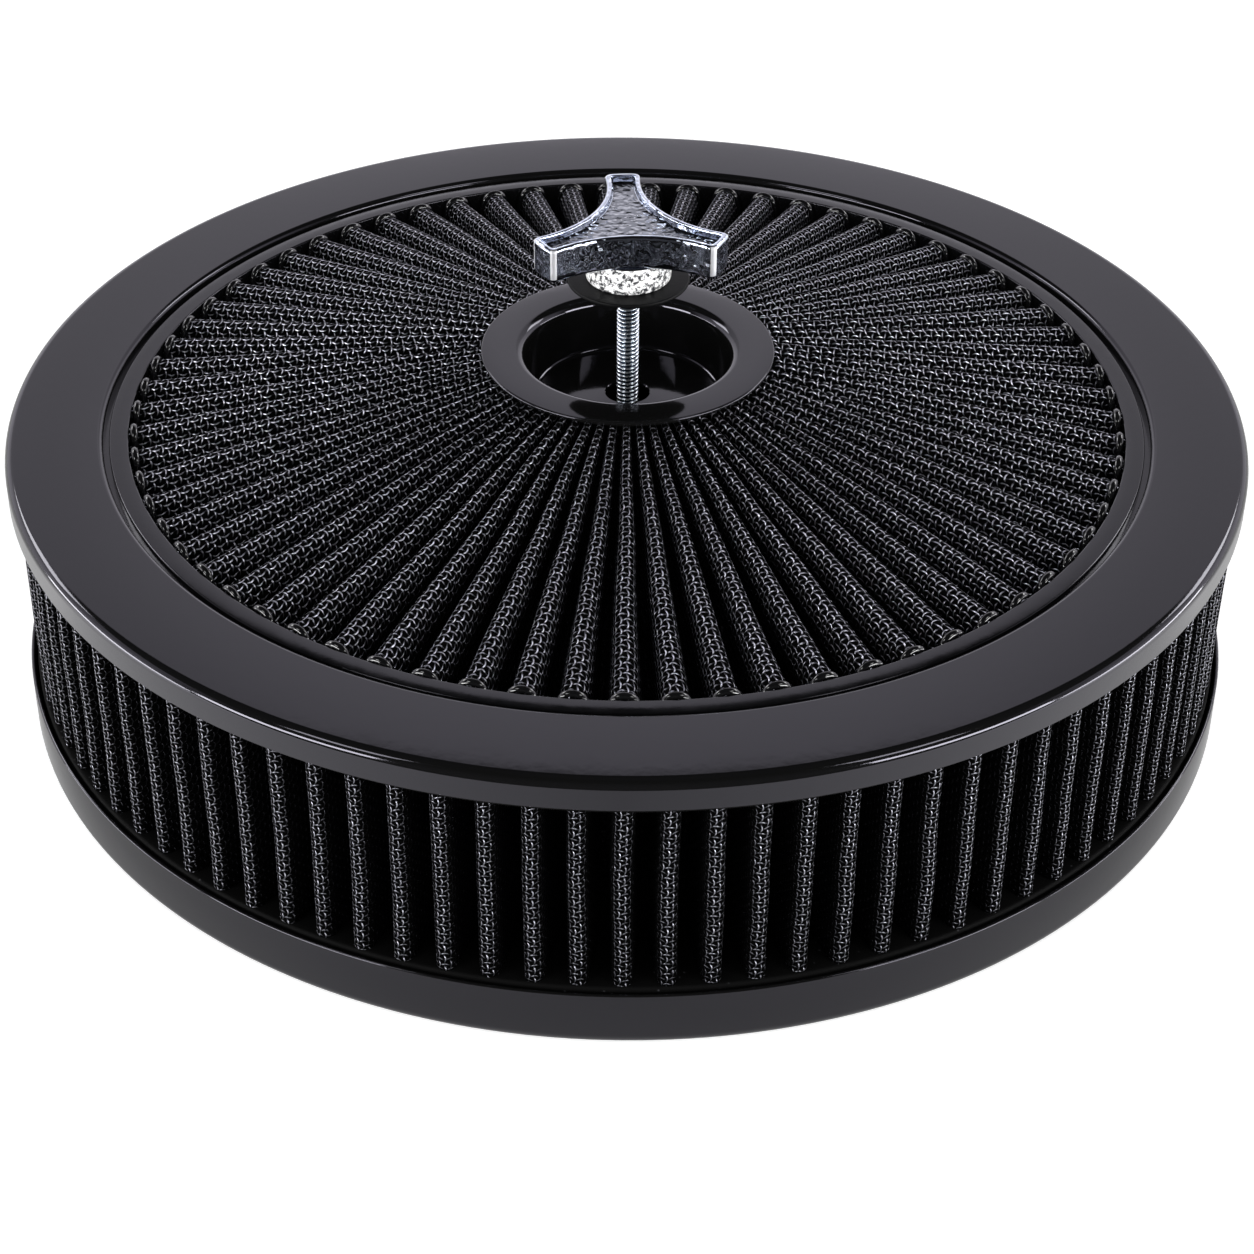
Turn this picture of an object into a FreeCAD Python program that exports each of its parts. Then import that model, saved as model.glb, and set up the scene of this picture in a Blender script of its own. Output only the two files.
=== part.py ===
"""Round carburetor air cleaner with a filtering lid, in millimetres.

A stamped base pan carries a pleated ring element. The lid rests on the element: a steel ring with
a second pleated filter in its middle, and a pressed hub cup. A three-armed knob on a threaded stud
clamps the stack down on the carburetor. The stack stands on the XY plane and Z is its axis.
The knob is drawn backed off, with its washer well above the floor of the hub cup.
"""
import FreeCAD
import Part
import os
from math import asin, cos, degrees, pi, radians, sin

V = FreeCAD.Vector
ORIGIN = V(0, 0, 0)
UP = V(0, 0, 1)

# Ring element between the base pan and the lid
ELEMENT_OUTER_RADIUS = 176.0
ELEMENT_RING_WIDTH = 23.6
ELEMENT_HEIGHT = 76.2
END_RING_THICKNESS = 9.7
SIDE_PLEAT_COUNT = 96
PLEAT_MARGIN = 0.5

# Pleated sheet: cotton gauze between two wire screens
MEDIA_THICKNESS = 1.6
CREST_SHARE = 0.27
VALLEY_SHARE = 0.10
FOLD_SIDES = 3

# Base pan
BASE_SHEET = 1.2
BASE_RIM_CLEARANCE = 0.8
BASE_RIM_HEIGHT = 17.5
BASE_CORNER_RADIUS = 4.0
FOOT_WIDTH = 8.0
FOOT_STEP_RUN = 4.0
SEAT_HEIGHT = 8.6
NECK_BORE_RADIUS = 65.1
NECK_COLLAR_LENGTH = 7.6
NECK_GASKET_WIDTH = 11.0
NECK_GASKET_THICKNESS = 4.0

# Steel ring of the lid
LID_SHEET = 1.2
LID_SKIRT_CLEARANCE = 0.6
LID_SKIRT_DEPTH = 8.8
LID_CORNER_RADIUS = 2.8
LID_LIP_CLEARANCE = 0.9
LID_LIP_ROLL = 1.7
LID_LIP_DEPTH = 9.0

# Moulded frame round the top filter, and its own pleats
LEDGE_DROP = 1.2
FRAME_WIDTH = 7.1
GROOVE_WIDTH = 0.5
GROOVE_DEPTH = 2.2
TOP_PLEAT_COUNT = 69
TOP_PLEAT_DEPTH = 12.0
TOP_CREST_DROP = 0.3
INNER_RING_WIDTH = 7.3
INNER_RING_HEIGHT = 10.5

# Hub cup
HUB_RISE = 17.8
HUB_FLANGE_RADIUS = 42.0
HUB_OPENING_RADIUS = 29.5
HUB_CUP_DEPTH = 14.8
HUB_SHEET = 1.2
HUB_MOUTH_ROLL = 3.0
HUB_WALL_DRAFT = 1.5
HUB_FLOOR_CORNER = 1.0
HUB_FLOOR_HOLE_RADIUS = 6.35

# Clamp screw: stud, knob and the rubber washer under it
STUD_RADIUS = 3.175
STUD_CHAMFER = 0.8
THREAD_CLEARANCE = 0.05
KNOB_RAISED = 36.5
WASHER_RADIUS = 17.3
WASHER_THICKNESS = 1.2
WASHER_BORE_CLEARANCE = 0.3
KNOB_BOSS_RADIUS = 12.3
KNOB_BOSS_HEIGHT = 7.8
KNOB_ARM_THICKNESS = 10.0
KNOB_ARM_REACH = 28.9
KNOB_TIP_WIDTH = 10.4
KNOB_WAIST_RADIUS = 11.0
KNOB_TIP_CORNER = 1.5
KNOB_RECESS_CORNER = 0.8
KNOB_EDGE_BEVEL = 0.8
KNOB_RIM_WIDTH = 1.6
KNOB_RECESS_DEPTH = 2.0
KNOB_CROWN = 2.5
KNOB_ARMS = 3
KNOB_TURN = 94.0

# The rolled sheet edges that show are drawn as this many flats
CORNER_SIDES = 2

# Levels that follow from the sizes
LID_TOP = SEAT_HEIGHT + ELEMENT_HEIGHT + LID_SHEET
LID_UNDERSIDE = LID_TOP - LID_SHEET
ELEMENT_TOP = SEAT_HEIGHT + ELEMENT_HEIGHT
LEDGE_TOP = LID_TOP - LEDGE_DROP
HUB_TOP = LID_TOP + HUB_RISE
HUB_FLANGE_UNDERSIDE = HUB_TOP - HUB_SHEET
HUB_FLOOR_TOP = HUB_TOP - HUB_CUP_DEPTH
WASHER_BOTTOM = HUB_FLOOR_TOP + KNOB_RAISED
WASHER_TOP = WASHER_BOTTOM + WASHER_THICKNESS
KNOB_ARM_BOTTOM = WASHER_TOP + KNOB_BOSS_HEIGHT
KNOB_TOP = KNOB_ARM_BOTTOM + KNOB_ARM_THICKNESS
STUD_TOP = KNOB_TOP - KNOB_CROWN

# Radii that follow from the sizes
ELEMENT_INNER_RADIUS = ELEMENT_OUTER_RADIUS - ELEMENT_RING_WIDTH
BASE_OUTER_RADIUS = ELEMENT_OUTER_RADIUS + BASE_RIM_CLEARANCE + BASE_SHEET
NECK_COLLAR_OUTER = NECK_BORE_RADIUS + BASE_SHEET
LID_OUTER_RADIUS = ELEMENT_OUTER_RADIUS + LID_SKIRT_CLEARANCE + LID_SHEET
LIP_OUTER_RADIUS = ELEMENT_INNER_RADIUS - LID_LIP_CLEARANCE
LIP_INNER_RADIUS = LIP_OUTER_RADIUS - LID_SHEET
FRAME_INNER_RADIUS = LIP_INNER_RADIUS - FRAME_WIDTH
HUB_WALL_OUTER = HUB_OPENING_RADIUS + HUB_SHEET
TOP_MEDIA_INNER_RADIUS = HUB_WALL_OUTER + INNER_RING_WIDTH


def arc_points(centre_r, centre_z, radius, start, end, sides=CORNER_SIDES):
    """Points along an arc of the profile, from start to end in degrees."""
    angles = [radians(start + (end - start) * i / sides) for i in range(sides + 1)]
    return [(centre_r + radius * cos(a), centre_z + radius * sin(a)) for a in angles]


def turned(profile):
    """Solid of revolution about Z from the (radius, height) points of its section."""
    points = [V(r, 0, z) for r, z in profile]
    face = Part.Face(Part.makePolygon(points + points[:1]))
    return face.revolve(ORIGIN, UP, 360)


def ring(inner, outer, bottom, top):
    """Plain ring with a rectangular section."""
    return turned([(inner, bottom), (outer, bottom), (outer, top), (inner, top)])


def base_pan():
    rim_inner = BASE_OUTER_RADIUS - BASE_SHEET
    corner_r = BASE_OUTER_RADIUS - BASE_CORNER_RADIUS
    foot_inner = corner_r - FOOT_WIDTH
    seat_outer = foot_inner - FOOT_STEP_RUN
    underside = SEAT_HEIGHT - BASE_SHEET
    collar_bottom = SEAT_HEIGHT - NECK_COLLAR_LENGTH
    outside = arc_points(corner_r, BASE_CORNER_RADIUS, BASE_CORNER_RADIUS, 0, -90)
    inside = arc_points(corner_r, BASE_CORNER_RADIUS, BASE_CORNER_RADIUS - BASE_SHEET, -90, 0, 1)
    return turned(
        [(rim_inner, BASE_RIM_HEIGHT), (BASE_OUTER_RADIUS, BASE_RIM_HEIGHT)]
        + outside
        + [
            (foot_inner, 0),
            (seat_outer, underside),
            (NECK_COLLAR_OUTER, underside),
            (NECK_COLLAR_OUTER, collar_bottom),
            (NECK_BORE_RADIUS, collar_bottom),
            (NECK_BORE_RADIUS, SEAT_HEIGHT),
            (seat_outer, SEAT_HEIGHT),
            (foot_inner, BASE_SHEET),
        ]
        + inside
    )


def neck_gasket():
    top = SEAT_HEIGHT - BASE_SHEET
    outer = NECK_COLLAR_OUTER + NECK_GASKET_WIDTH
    return ring(NECK_COLLAR_OUTER, outer, top - NECK_GASKET_THICKNESS, top)


def element_bottom_ring():
    return ring(
        ELEMENT_INNER_RADIUS, ELEMENT_OUTER_RADIUS, SEAT_HEIGHT, SEAT_HEIGHT + END_RING_THICKNESS
    )


def element_top_ring():
    return ring(
        ELEMENT_INNER_RADIUS, ELEMENT_OUTER_RADIUS, ELEMENT_TOP - END_RING_THICKNESS, ELEMENT_TOP
    )


def pleat_section(pitch, depth):
    """One pleat, as (along, height) points on the sheet's front and back, in step with each other.

    The crest stands in the middle of the pitch at the height of the depth, and the front of the
    valley floor is at height nought. Each fold is a half polygon with FOLD_SIDES sides.
    """
    crest = CREST_SHARE * pitch
    valley = VALLEY_SHARE * pitch
    crown = crest * sin(pi / 2 - pi / 2 / FOLD_SIDES * (FOLD_SIDES % 2))
    centre_height = depth - crown
    front = [(-pitch / 2 + valley, 0)]
    back = [(-pitch / 2 + valley + MEDIA_THICKNESS, -MEDIA_THICKNESS)]
    for i in range(FOLD_SIDES + 1):
        angle = pi - pi * i / FOLD_SIDES
        for points, radius in ((front, crest), (back, crest - MEDIA_THICKNESS)):
            points.append((radius * cos(angle), centre_height + radius * sin(angle)))
    front.append((pitch / 2 - valley, 0))
    back.append((pitch / 2 - valley - MEDIA_THICKNESS, -MEDIA_THICKNESS))
    return front, back


def folded_loop(section, pitch, count):
    """The section of one pleat, repeated round the turn as (angle, height) points."""
    step = 2 * pi / count
    first = -pi / 2
    return [
        (first + n * step + along / pitch * step, height)
        for n in range(count)
        for along, height in section
    ]


def polyhedron(faces):
    """Closed solid from flat faces, each a list of its corner points in turn seen from outside."""
    corners = {}
    edges = {}
    skins = []
    for face_points in faces:
        keys = [(round(p.x, 6), round(p.y, 6), round(p.z, 6)) for p in face_points]
        sides = []
        for start, end in zip(keys, keys[1:] + keys[:1]):
            pair = (min(start, end), max(start, end))
            if pair not in edges:
                ends = [corners.setdefault(key, Part.Vertex(V(*key))) for key in pair]
                edges[pair] = Part.Edge(*ends)
            sides.append(edges[pair])
        face = Part.Face(Part.Wire(sides))
        outward = (face_points[1] - face_points[0]).cross(face_points[2] - face_points[0])
        if face.normalAt(0, 0).dot(outward) < 0:
            face.reverse()
        skins.append(face)
    solid = Part.Solid(Part.Shell(skins))
    if solid.Volume < 0:
        solid.reverse()
    return solid


def folded_sheet(front_a, front_b, back_a, back_b):
    """Closed solid between a pleated front and back, each given by the fold points at both ends."""
    faces = []
    for i in range(len(front_a)):
        j = (i + 1) % len(front_a)
        faces.append([front_a[i], front_a[j], front_b[j], front_b[i]])
        faces.append([back_a[j], back_a[i], back_b[i], back_b[j]])
        faces.append([front_a[j], front_a[i], back_a[i]])
        faces.append([front_a[j], back_a[i], back_a[j]])
        faces.append([front_b[i], front_b[j], back_b[j]])
        faces.append([front_b[i], back_b[j], back_b[i]])
    return polyhedron(faces)


def side_media():
    crest_radius = ELEMENT_OUTER_RADIUS - PLEAT_MARGIN
    valley_radius = ELEMENT_INNER_RADIUS + PLEAT_MARGIN + MEDIA_THICKNESS
    pitch = 2 * pi * crest_radius / SIDE_PLEAT_COUNT
    bottom = SEAT_HEIGHT + END_RING_THICKNESS
    height = ELEMENT_HEIGHT - 2 * END_RING_THICKNESS
    rows = []
    for section in pleat_section(pitch, crest_radius - valley_radius):
        loop = folded_loop(section, pitch, SIDE_PLEAT_COUNT)
        for z in (bottom, bottom + height):
            rows.append([V((valley_radius + h) * cos(a), (valley_radius + h) * sin(a), z) for a, h in loop])
    return folded_sheet(*rows)


def top_media():
    """Pleats of the lid: every fold line runs to one point on the axis, so each flank is flat."""
    outer = FRAME_INNER_RADIUS
    inner = TOP_MEDIA_INNER_RADIUS
    crest_out = LEDGE_TOP - TOP_CREST_DROP
    crest_in = HUB_FLANGE_UNDERSIDE - TOP_CREST_DROP
    apex = crest_out + (crest_in - crest_out) * outer / (outer - inner)
    pitch = 2 * pi * outer / TOP_PLEAT_COUNT
    rows = []
    for section in pleat_section(pitch, TOP_PLEAT_DEPTH):
        loop = folded_loop(section, pitch, TOP_PLEAT_COUNT)
        for radius in (outer, inner):
            below_apex = (apex - crest_out + TOP_PLEAT_DEPTH) * radius / outer
            rise = radius / outer
            rows.append([V(radius * cos(a), radius * sin(a), apex - below_apex + h * rise) for a, h in loop])
    return folded_sheet(*rows)


def lid_ring():
    skirt_inner = LID_OUTER_RADIUS - LID_SHEET
    skirt_bottom = LID_TOP - LID_SKIRT_DEPTH
    corner_r = LID_OUTER_RADIUS - LID_CORNER_RADIUS
    corner_z = LID_TOP - LID_CORNER_RADIUS
    lip_bottom = LID_TOP - LID_LIP_DEPTH
    roll_r = LIP_INNER_RADIUS + LID_LIP_ROLL
    roll_z = LID_TOP - LID_LIP_ROLL
    return turned(
        [(skirt_inner, skirt_bottom), (LID_OUTER_RADIUS, skirt_bottom)]
        + arc_points(corner_r, corner_z, LID_CORNER_RADIUS, 0, 90)
        + arc_points(roll_r, roll_z, LID_LIP_ROLL, 90, 180)
        + [
            (LIP_INNER_RADIUS, lip_bottom),
            (LIP_OUTER_RADIUS, lip_bottom),
            (LIP_OUTER_RADIUS, LID_UNDERSIDE),
            (skirt_inner, LID_UNDERSIDE),
        ]
    )


def top_outer_frame():
    bottom = LEDGE_TOP - TOP_CREST_DROP - TOP_PLEAT_DEPTH - MEDIA_THICKNESS - PLEAT_MARGIN
    groove_radius = LIP_INNER_RADIUS - GROOVE_WIDTH
    groove_bottom = LEDGE_TOP - GROOVE_DEPTH
    return turned(
        [
            (FRAME_INNER_RADIUS, bottom),
            (LIP_INNER_RADIUS, bottom),
            (LIP_INNER_RADIUS, groove_bottom),
            (groove_radius, groove_bottom),
            (groove_radius, LEDGE_TOP),
            (FRAME_INNER_RADIUS, LEDGE_TOP),
        ]
    )


def top_inner_ring():
    return ring(
        HUB_WALL_OUTER,
        TOP_MEDIA_INNER_RADIUS,
        HUB_FLANGE_UNDERSIDE - INNER_RING_HEIGHT,
        HUB_FLANGE_UNDERSIDE,
    )


def hub_cup():
    floor_bottom = HUB_FLOOR_TOP - HUB_SHEET
    corner_r = HUB_OPENING_RADIUS - HUB_WALL_DRAFT - HUB_FLOOR_CORNER
    corner_z = HUB_FLOOR_TOP + HUB_FLOOR_CORNER
    mouth_r = HUB_OPENING_RADIUS + HUB_MOUTH_ROLL
    mouth_z = HUB_TOP - HUB_MOUTH_ROLL
    return turned(
        [(HUB_FLOOR_HOLE_RADIUS, floor_bottom)]
        + arc_points(corner_r, corner_z, HUB_FLOOR_CORNER + HUB_SHEET, -90, 0, 1)
        + [
            (HUB_WALL_OUTER, HUB_FLANGE_UNDERSIDE),
            (HUB_FLANGE_RADIUS, HUB_FLANGE_UNDERSIDE),
            (HUB_FLANGE_RADIUS, HUB_TOP),
        ]
        + arc_points(mouth_r, mouth_z, HUB_MOUTH_ROLL, 90, 180)
        + arc_points(corner_r, corner_z, HUB_FLOOR_CORNER, 0, -90, 1)
        + [(HUB_FLOOR_HOLE_RADIUS, HUB_FLOOR_TOP)]
    )


def stud():
    body = Part.makeCylinder(STUD_RADIUS, STUD_TOP, ORIGIN)
    ends = [e for e in body.Edges if isinstance(e.Curve, Part.Circle)]
    return body.makeChamfer(STUD_CHAMFER, ends)


def seal_washer():
    bore = STUD_RADIUS + WASHER_BORE_CLEARANCE
    return ring(bore, WASHER_RADIUS, WASHER_BOTTOM, WASHER_TOP)


def polar(radius, azimuth, z):
    """Point at a radius from the axis, an azimuth in degrees and a height."""
    return V(radius * cos(radians(azimuth)), radius * sin(radians(azimuth)), z)


def star_prism(bottom, top, inset, corner_radius):
    """Upright block of the knob's outline: arms with ends on one circle, joined by hollow sides.

    The inset draws it that much smaller all round.
    """
    step = 360 / KNOB_ARMS
    reach = KNOB_ARM_REACH - inset
    half_tip = KNOB_TIP_WIDTH / 2 - inset
    half_angle = degrees(asin(half_tip / reach))
    edges = []
    for n in range(KNOB_ARMS):
        arm = KNOB_TURN + n * step
        right = polar(reach, arm - half_angle, bottom)
        left = polar(reach, arm + half_angle, bottom)
        waist = polar(KNOB_WAIST_RADIUS - inset, arm + step / 2, bottom)
        next_right = polar(reach, arm + step - half_angle, bottom)
        edges.append(Part.Arc(right, polar(reach, arm, bottom), left).toShape())
        edges.append(Part.Arc(left, waist, next_right).toShape())
    block = Part.Face(Part.Wire(edges)).extrude(UP * (top - bottom))
    uprights = [e for e in block.Edges if isinstance(e.Curve, Part.Line)]
    return block.makeFillet(corner_radius, uprights)


def knob():
    arms = star_prism(KNOB_ARM_BOTTOM, KNOB_TOP, 0, KNOB_TIP_CORNER)
    top = max(arms.Faces, key=lambda face: face.CenterOfMass.z)
    arms = arms.makeChamfer(KNOB_EDGE_BEVEL, top.OuterWire.Edges)
    recess = star_prism(KNOB_TOP - KNOB_RECESS_DEPTH, KNOB_TOP, KNOB_RIM_WIDTH, KNOB_RECESS_CORNER)
    boss = Part.makeCylinder(
        KNOB_BOSS_RADIUS, KNOB_BOSS_HEIGHT + KNOB_ARM_THICKNESS / 2, V(0, 0, WASHER_TOP)
    )
    tapped = Part.makeCylinder(
        STUD_RADIUS + THREAD_CLEARANCE, STUD_TOP - WASHER_TOP, V(0, 0, WASHER_TOP)
    )
    return arms.cut(recess).fuse(boss).cut(tapped)


PARTS = {
    "base_pan": base_pan,
    "neck_gasket": neck_gasket,
    "element_bottom_ring": element_bottom_ring,
    "side_media": side_media,
    "element_top_ring": element_top_ring,
    "lid_ring": lid_ring,
    "top_outer_frame": top_outer_frame,
    "top_media": top_media,
    "top_inner_ring": top_inner_ring,
    "hub_cup": hub_cup,
    "stud": stud,
    "seal_washer": seal_washer,
    "knob": knob,
}

os.makedirs("parts", exist_ok=True)
for name, make in PARTS.items():
    shape = make()
    if isinstance(shape, Part.Compound) and len(shape.Solids) == 1:
        shape = shape.Solids[0]
    shape.exportStep("parts/" + name + ".step")
    box = shape.BoundBox
    print(
        f"{name}: {len(shape.Solids)} solid, valid {shape.isValid()}, volume {shape.Volume:.0f}, "
        f"z {box.ZMin:.2f} to {box.ZMax:.2f}, faces {len(shape.Faces)}"
    )
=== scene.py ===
# %% [markdown]
# ## A round air cleaner, dressed over its CAD frame
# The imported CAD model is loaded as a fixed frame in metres. It says where every piece sits, and each
# piece made below replaces the plain solid of the same name and moves with the same body.

import bpy
from math import acos, asin, atan2, cos, hypot, pi, radians, sin
from mathutils import Matrix, Vector


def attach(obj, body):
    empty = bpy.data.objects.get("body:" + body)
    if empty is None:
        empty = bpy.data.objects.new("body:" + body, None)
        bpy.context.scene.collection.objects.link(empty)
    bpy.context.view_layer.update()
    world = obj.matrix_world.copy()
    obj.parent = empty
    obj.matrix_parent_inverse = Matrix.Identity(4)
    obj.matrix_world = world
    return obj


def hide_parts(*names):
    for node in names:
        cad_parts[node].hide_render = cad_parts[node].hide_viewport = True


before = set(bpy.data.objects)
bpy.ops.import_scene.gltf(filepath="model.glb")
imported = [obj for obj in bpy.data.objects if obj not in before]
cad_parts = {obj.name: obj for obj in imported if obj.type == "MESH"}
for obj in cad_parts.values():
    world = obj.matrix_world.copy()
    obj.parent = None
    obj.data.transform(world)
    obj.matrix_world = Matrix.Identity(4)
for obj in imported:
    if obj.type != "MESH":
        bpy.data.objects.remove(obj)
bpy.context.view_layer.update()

# %% [markdown]
# ## Sizes
# Every size is in millimetres, and one that the CAD source has too has the same value there, so that
# a piece made here lands on its solid. `MM` turns a length into metres where a mesh is made. `SHEET`
# is the thickness of all the pressed steel, and `EDGE` is the small chamfer on cut edges.

# %% Sizes that several pieces share
MM = 0.001
SHEET = 1.2
EDGE = 0.2

SEAT_HEIGHT = 8.6
ELEMENT_OUTER_RADIUS = 176.0
ELEMENT_INNER_RADIUS = 152.4
ELEMENT_TOP = 84.8
END_RING_THICKNESS = 9.7
LID_TOP = 86.0
LIP_INNER_RADIUS = 150.3
LEDGE_TOP = 84.8
FRAME_INNER_RADIUS = 143.2
TOP_MEDIA_INNER_RADIUS = 38.0
HUB_TOP = 103.8
HUB_FLANGE_UNDERSIDE = 102.6
HUB_FLANGE_RADIUS = 42.0
HUB_OPENING_RADIUS = 29.5
HUB_WALL_RADIUS = 30.7
HUB_FLOOR_TOP = 89.0
WASHER_BOTTOM = 125.5
WASHER_TOP = 126.7
KNOB_ARM_BOTTOM = 134.5
KNOB_TOP = 144.5
STUD_RADIUS = 3.175
STUD_TOP = 142.0

# %% [markdown]
# ## Camera
# The camera was matched to the ellipses of the lid and base in the photograph: a mild telephoto
# lens about 0.8 m away, looking down at 35 degrees and rolled by half a degree.

# %% Camera
EYE = Vector((0.0000126, -0.6956, 0.4985))
PITCH, YAW, ROLL = 0.61659626, 0.00070289, 0.00902314
SENSOR_WIDTH = 36
LENS = 79.78

forward = Vector((sin(YAW) * cos(PITCH), cos(YAW) * cos(PITCH), -sin(PITCH)))
right = Vector((cos(YAW), -sin(YAW), 0))
up = right.cross(forward)
level_right = cos(ROLL) * right + sin(ROLL) * up
level_up = -sin(ROLL) * right + cos(ROLL) * up

camera_data = bpy.data.cameras.new("camera")
camera_data.sensor_width = SENSOR_WIDTH
camera_data.lens = LENS
camera = bpy.data.objects.new("camera", camera_data)
bpy.context.scene.collection.objects.link(camera)
facing = Matrix((level_right, level_up, -forward)).transposed()
camera.matrix_world = Matrix.Translation(EYE) @ facing.to_4x4()
bpy.context.scene.camera = camera
bpy.context.scene.view_settings.view_transform = "Standard"
print("camera at", [round(c, 3) for c in EYE], "lens", LENS)

# %% [markdown]
# ## Helpers for nodes and materials
# Colours are written as the sRGB hex values that a paint chart would give, and one function turns
# them linear, because Blender's sockets expect linear light. One small function adds a node, sets
# its properties and links its inputs, which keeps each material readable from top to bottom.


# %% Node helper
def linear(hex_colour):
    """Linear RGBA of an sRGB hex colour."""
    values = [int(hex_colour[i : i + 2], 16) / 255 for i in (1, 3, 5)]
    return [v / 12.92 if v <= 0.04045 else ((v + 0.055) / 1.055) ** 2.4 for v in values] + [1.0]


def add(tree, kind, inputs=(), **settings):
    """A new node of that kind. Each input is (socket name or number, value or another node's output)."""
    node = tree.nodes.new(kind)
    for key, value in settings.items():
        setattr(node, key, value)
    for socket, value in inputs:
        if isinstance(value, bpy.types.NodeSocket):
            tree.links.new(value, node.inputs[socket])
        else:
            node.inputs[socket].default_value = value
    return node


def finish_named(name, inputs=()):
    """A material with a Principled shader whose constants are set on its own sockets."""
    material = bpy.data.materials.new(name)
    material.use_nodes = True
    tree = material.node_tree
    shader = tree.nodes["Principled BSDF"]
    for socket, value in inputs:
        shader.inputs[socket].default_value = value
    return material, tree, shader


# %% [markdown]
# ## Black enamel on pressed steel
# The lid, the base pan and the hub cup are pressed from sheet steel and sprayed with a gloss black
# enamel. Almost all of their tone is the studio mirrored in the paint: an IOR of 1.53 gives the grey
# of the flat lid and the tint its cool cast. The film is a little hazier in patches of 17 mm, and
# its orange peel, a bump of about 3 mm, softens the mirror.

# %% Gloss black enamel
enamel, tree, shader = finish_named(
    "gloss_black_enamel_sprayed",
    [("Base Color", linear("#0A0A0A")), ("IOR", 1.53), ("Specular Tint", (0.88, 0.855, 1.0, 1.0))],
)
place = add(tree, "ShaderNodeTexCoord").outputs["Object"]
film = add(
    tree, "ShaderNodeTexNoise", [("Vector", place), ("Scale", 60.0), ("Detail", 6.0), ("Roughness", 0.7)]
)
haze = add(
    tree,
    "ShaderNodeMapRange",
    [
        ("Value", film.outputs["Fac"]), ("From Min", 0.35), ("From Max", 0.75),
        ("To Min", 0.06), ("To Max", 0.11),
    ],
)
tree.links.new(haze.outputs["Result"], shader.inputs["Roughness"])
peel = add(tree, "ShaderNodeTexNoise", [("Vector", place), ("Scale", 330.0), ("Detail", 2.0)])
peel_bump = add(
    tree, "ShaderNodeBump", [("Strength", 0.05), ("Distance", 0.0003), ("Height", peel.outputs["Fac"])]
)
tree.links.new(peel_bump.outputs["Normal"], shader.inputs["Normal"])
print("enamel nodes", len(tree.nodes))

# %% [markdown]
# ## Black urethane, moulded and poured
# The end rings of the element are cast in a mould: semi-matte, with the mould's faint texture and
# specks of pale dust about 4 mm apart. The frame round the top filter is poured in the open and sets
# with a smooth skin that shines unevenly. Where it climbed the ends of the pleats it kept a wet
# gloss, which mirrors the studio as one white line.

# %% Moulded urethane
urethane, tree, shader = finish_named(
    "black_urethane_moulded", [("Roughness", 0.7), ("IOR", 1.5), ("Specular IOR Level", 0.06)]
)
place = add(tree, "ShaderNodeTexCoord").outputs["Object"]
dust = add(tree, "ShaderNodeTexVoronoi", [("Vector", place), ("Scale", 260.0)])
dust_mask = add(
    tree,
    "ShaderNodeMapRange",
    [
        ("Value", dust.outputs["Distance"]), ("From Min", 0.05), ("From Max", 0.10),
        ("To Min", 1.0), ("To Max", 0.0),
    ],
)
dusty = add(
    tree,
    "ShaderNodeMix",
    [("Factor", dust_mask.outputs["Result"]), ("A", linear("#050505")), ("B", linear("#2A2A2C"))],
    data_type="RGBA",
)
tree.links.new(dusty.outputs["Result"], shader.inputs["Base Color"])
mould = add(tree, "ShaderNodeTexNoise", [("Vector", place), ("Scale", 700.0), ("Detail", 3.0)])
mould_bump = add(
    tree, "ShaderNodeBump", [("Strength", 0.25), ("Distance", 0.0002), ("Height", mould.outputs["Fac"])]
)
tree.links.new(mould_bump.outputs["Normal"], shader.inputs["Normal"])

# %% Poured urethane, and its wet bead
poured, tree, shader = finish_named(
    "black_urethane_poured_smooth",
    [("Base Color", linear("#0A0A0B")), ("IOR", 1.5), ("Specular Tint", (0.9, 0.88, 1.0, 1.0))],
)
place = add(tree, "ShaderNodeTexCoord").outputs["Object"]
flow = add(
    tree, "ShaderNodeTexNoise", [("Vector", place), ("Scale", 90.0), ("Detail", 5.0), ("Roughness", 0.7)]
)
flow_range = add(
    tree,
    "ShaderNodeMapRange",
    [
        ("Value", flow.outputs["Fac"]), ("From Min", 0.35), ("From Max", 0.7),
        ("To Min", 0.08), ("To Max", 0.2),
    ],
)
tree.links.new(flow_range.outputs["Result"], shader.inputs["Roughness"])
flow_bump = add(
    tree, "ShaderNodeBump", [("Strength", 0.12), ("Distance", 0.0004), ("Height", flow.outputs["Fac"])]
)
tree.links.new(flow_bump.outputs["Normal"], shader.inputs["Normal"])

wet, tree, shader = finish_named(
    "black_urethane_bead_wet_gloss",
    [("Base Color", linear("#0A0A0B")), ("IOR", 1.7), ("Roughness", 0.1)],
)

# %% [markdown]
# ## Nitrile rubber
# The washer under the knob and the gasket at the neck are die-cut nitrile: darker and a little
# shinier than the moulded urethane, with a grain of about 1 mm.

# %% Nitrile rubber
rubber, tree, shader = finish_named(
    "black_nitrile_rubber_cut",
    [("Base Color", linear("#060607")), ("Roughness", 0.5), ("Specular IOR Level", 0.12)],
)
place = add(tree, "ShaderNodeTexCoord").outputs["Object"]
grain = add(tree, "ShaderNodeTexNoise", [("Vector", place), ("Scale", 900.0), ("Detail", 3.0)])
grain_bump = add(
    tree, "ShaderNodeBump", [("Strength", 0.2), ("Distance", 0.00015), ("Height", grain.outputs["Fac"])]
)
tree.links.new(grain_bump.outputs["Normal"], shader.inputs["Normal"])
print("rubber nodes", len(tree.nodes))

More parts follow.
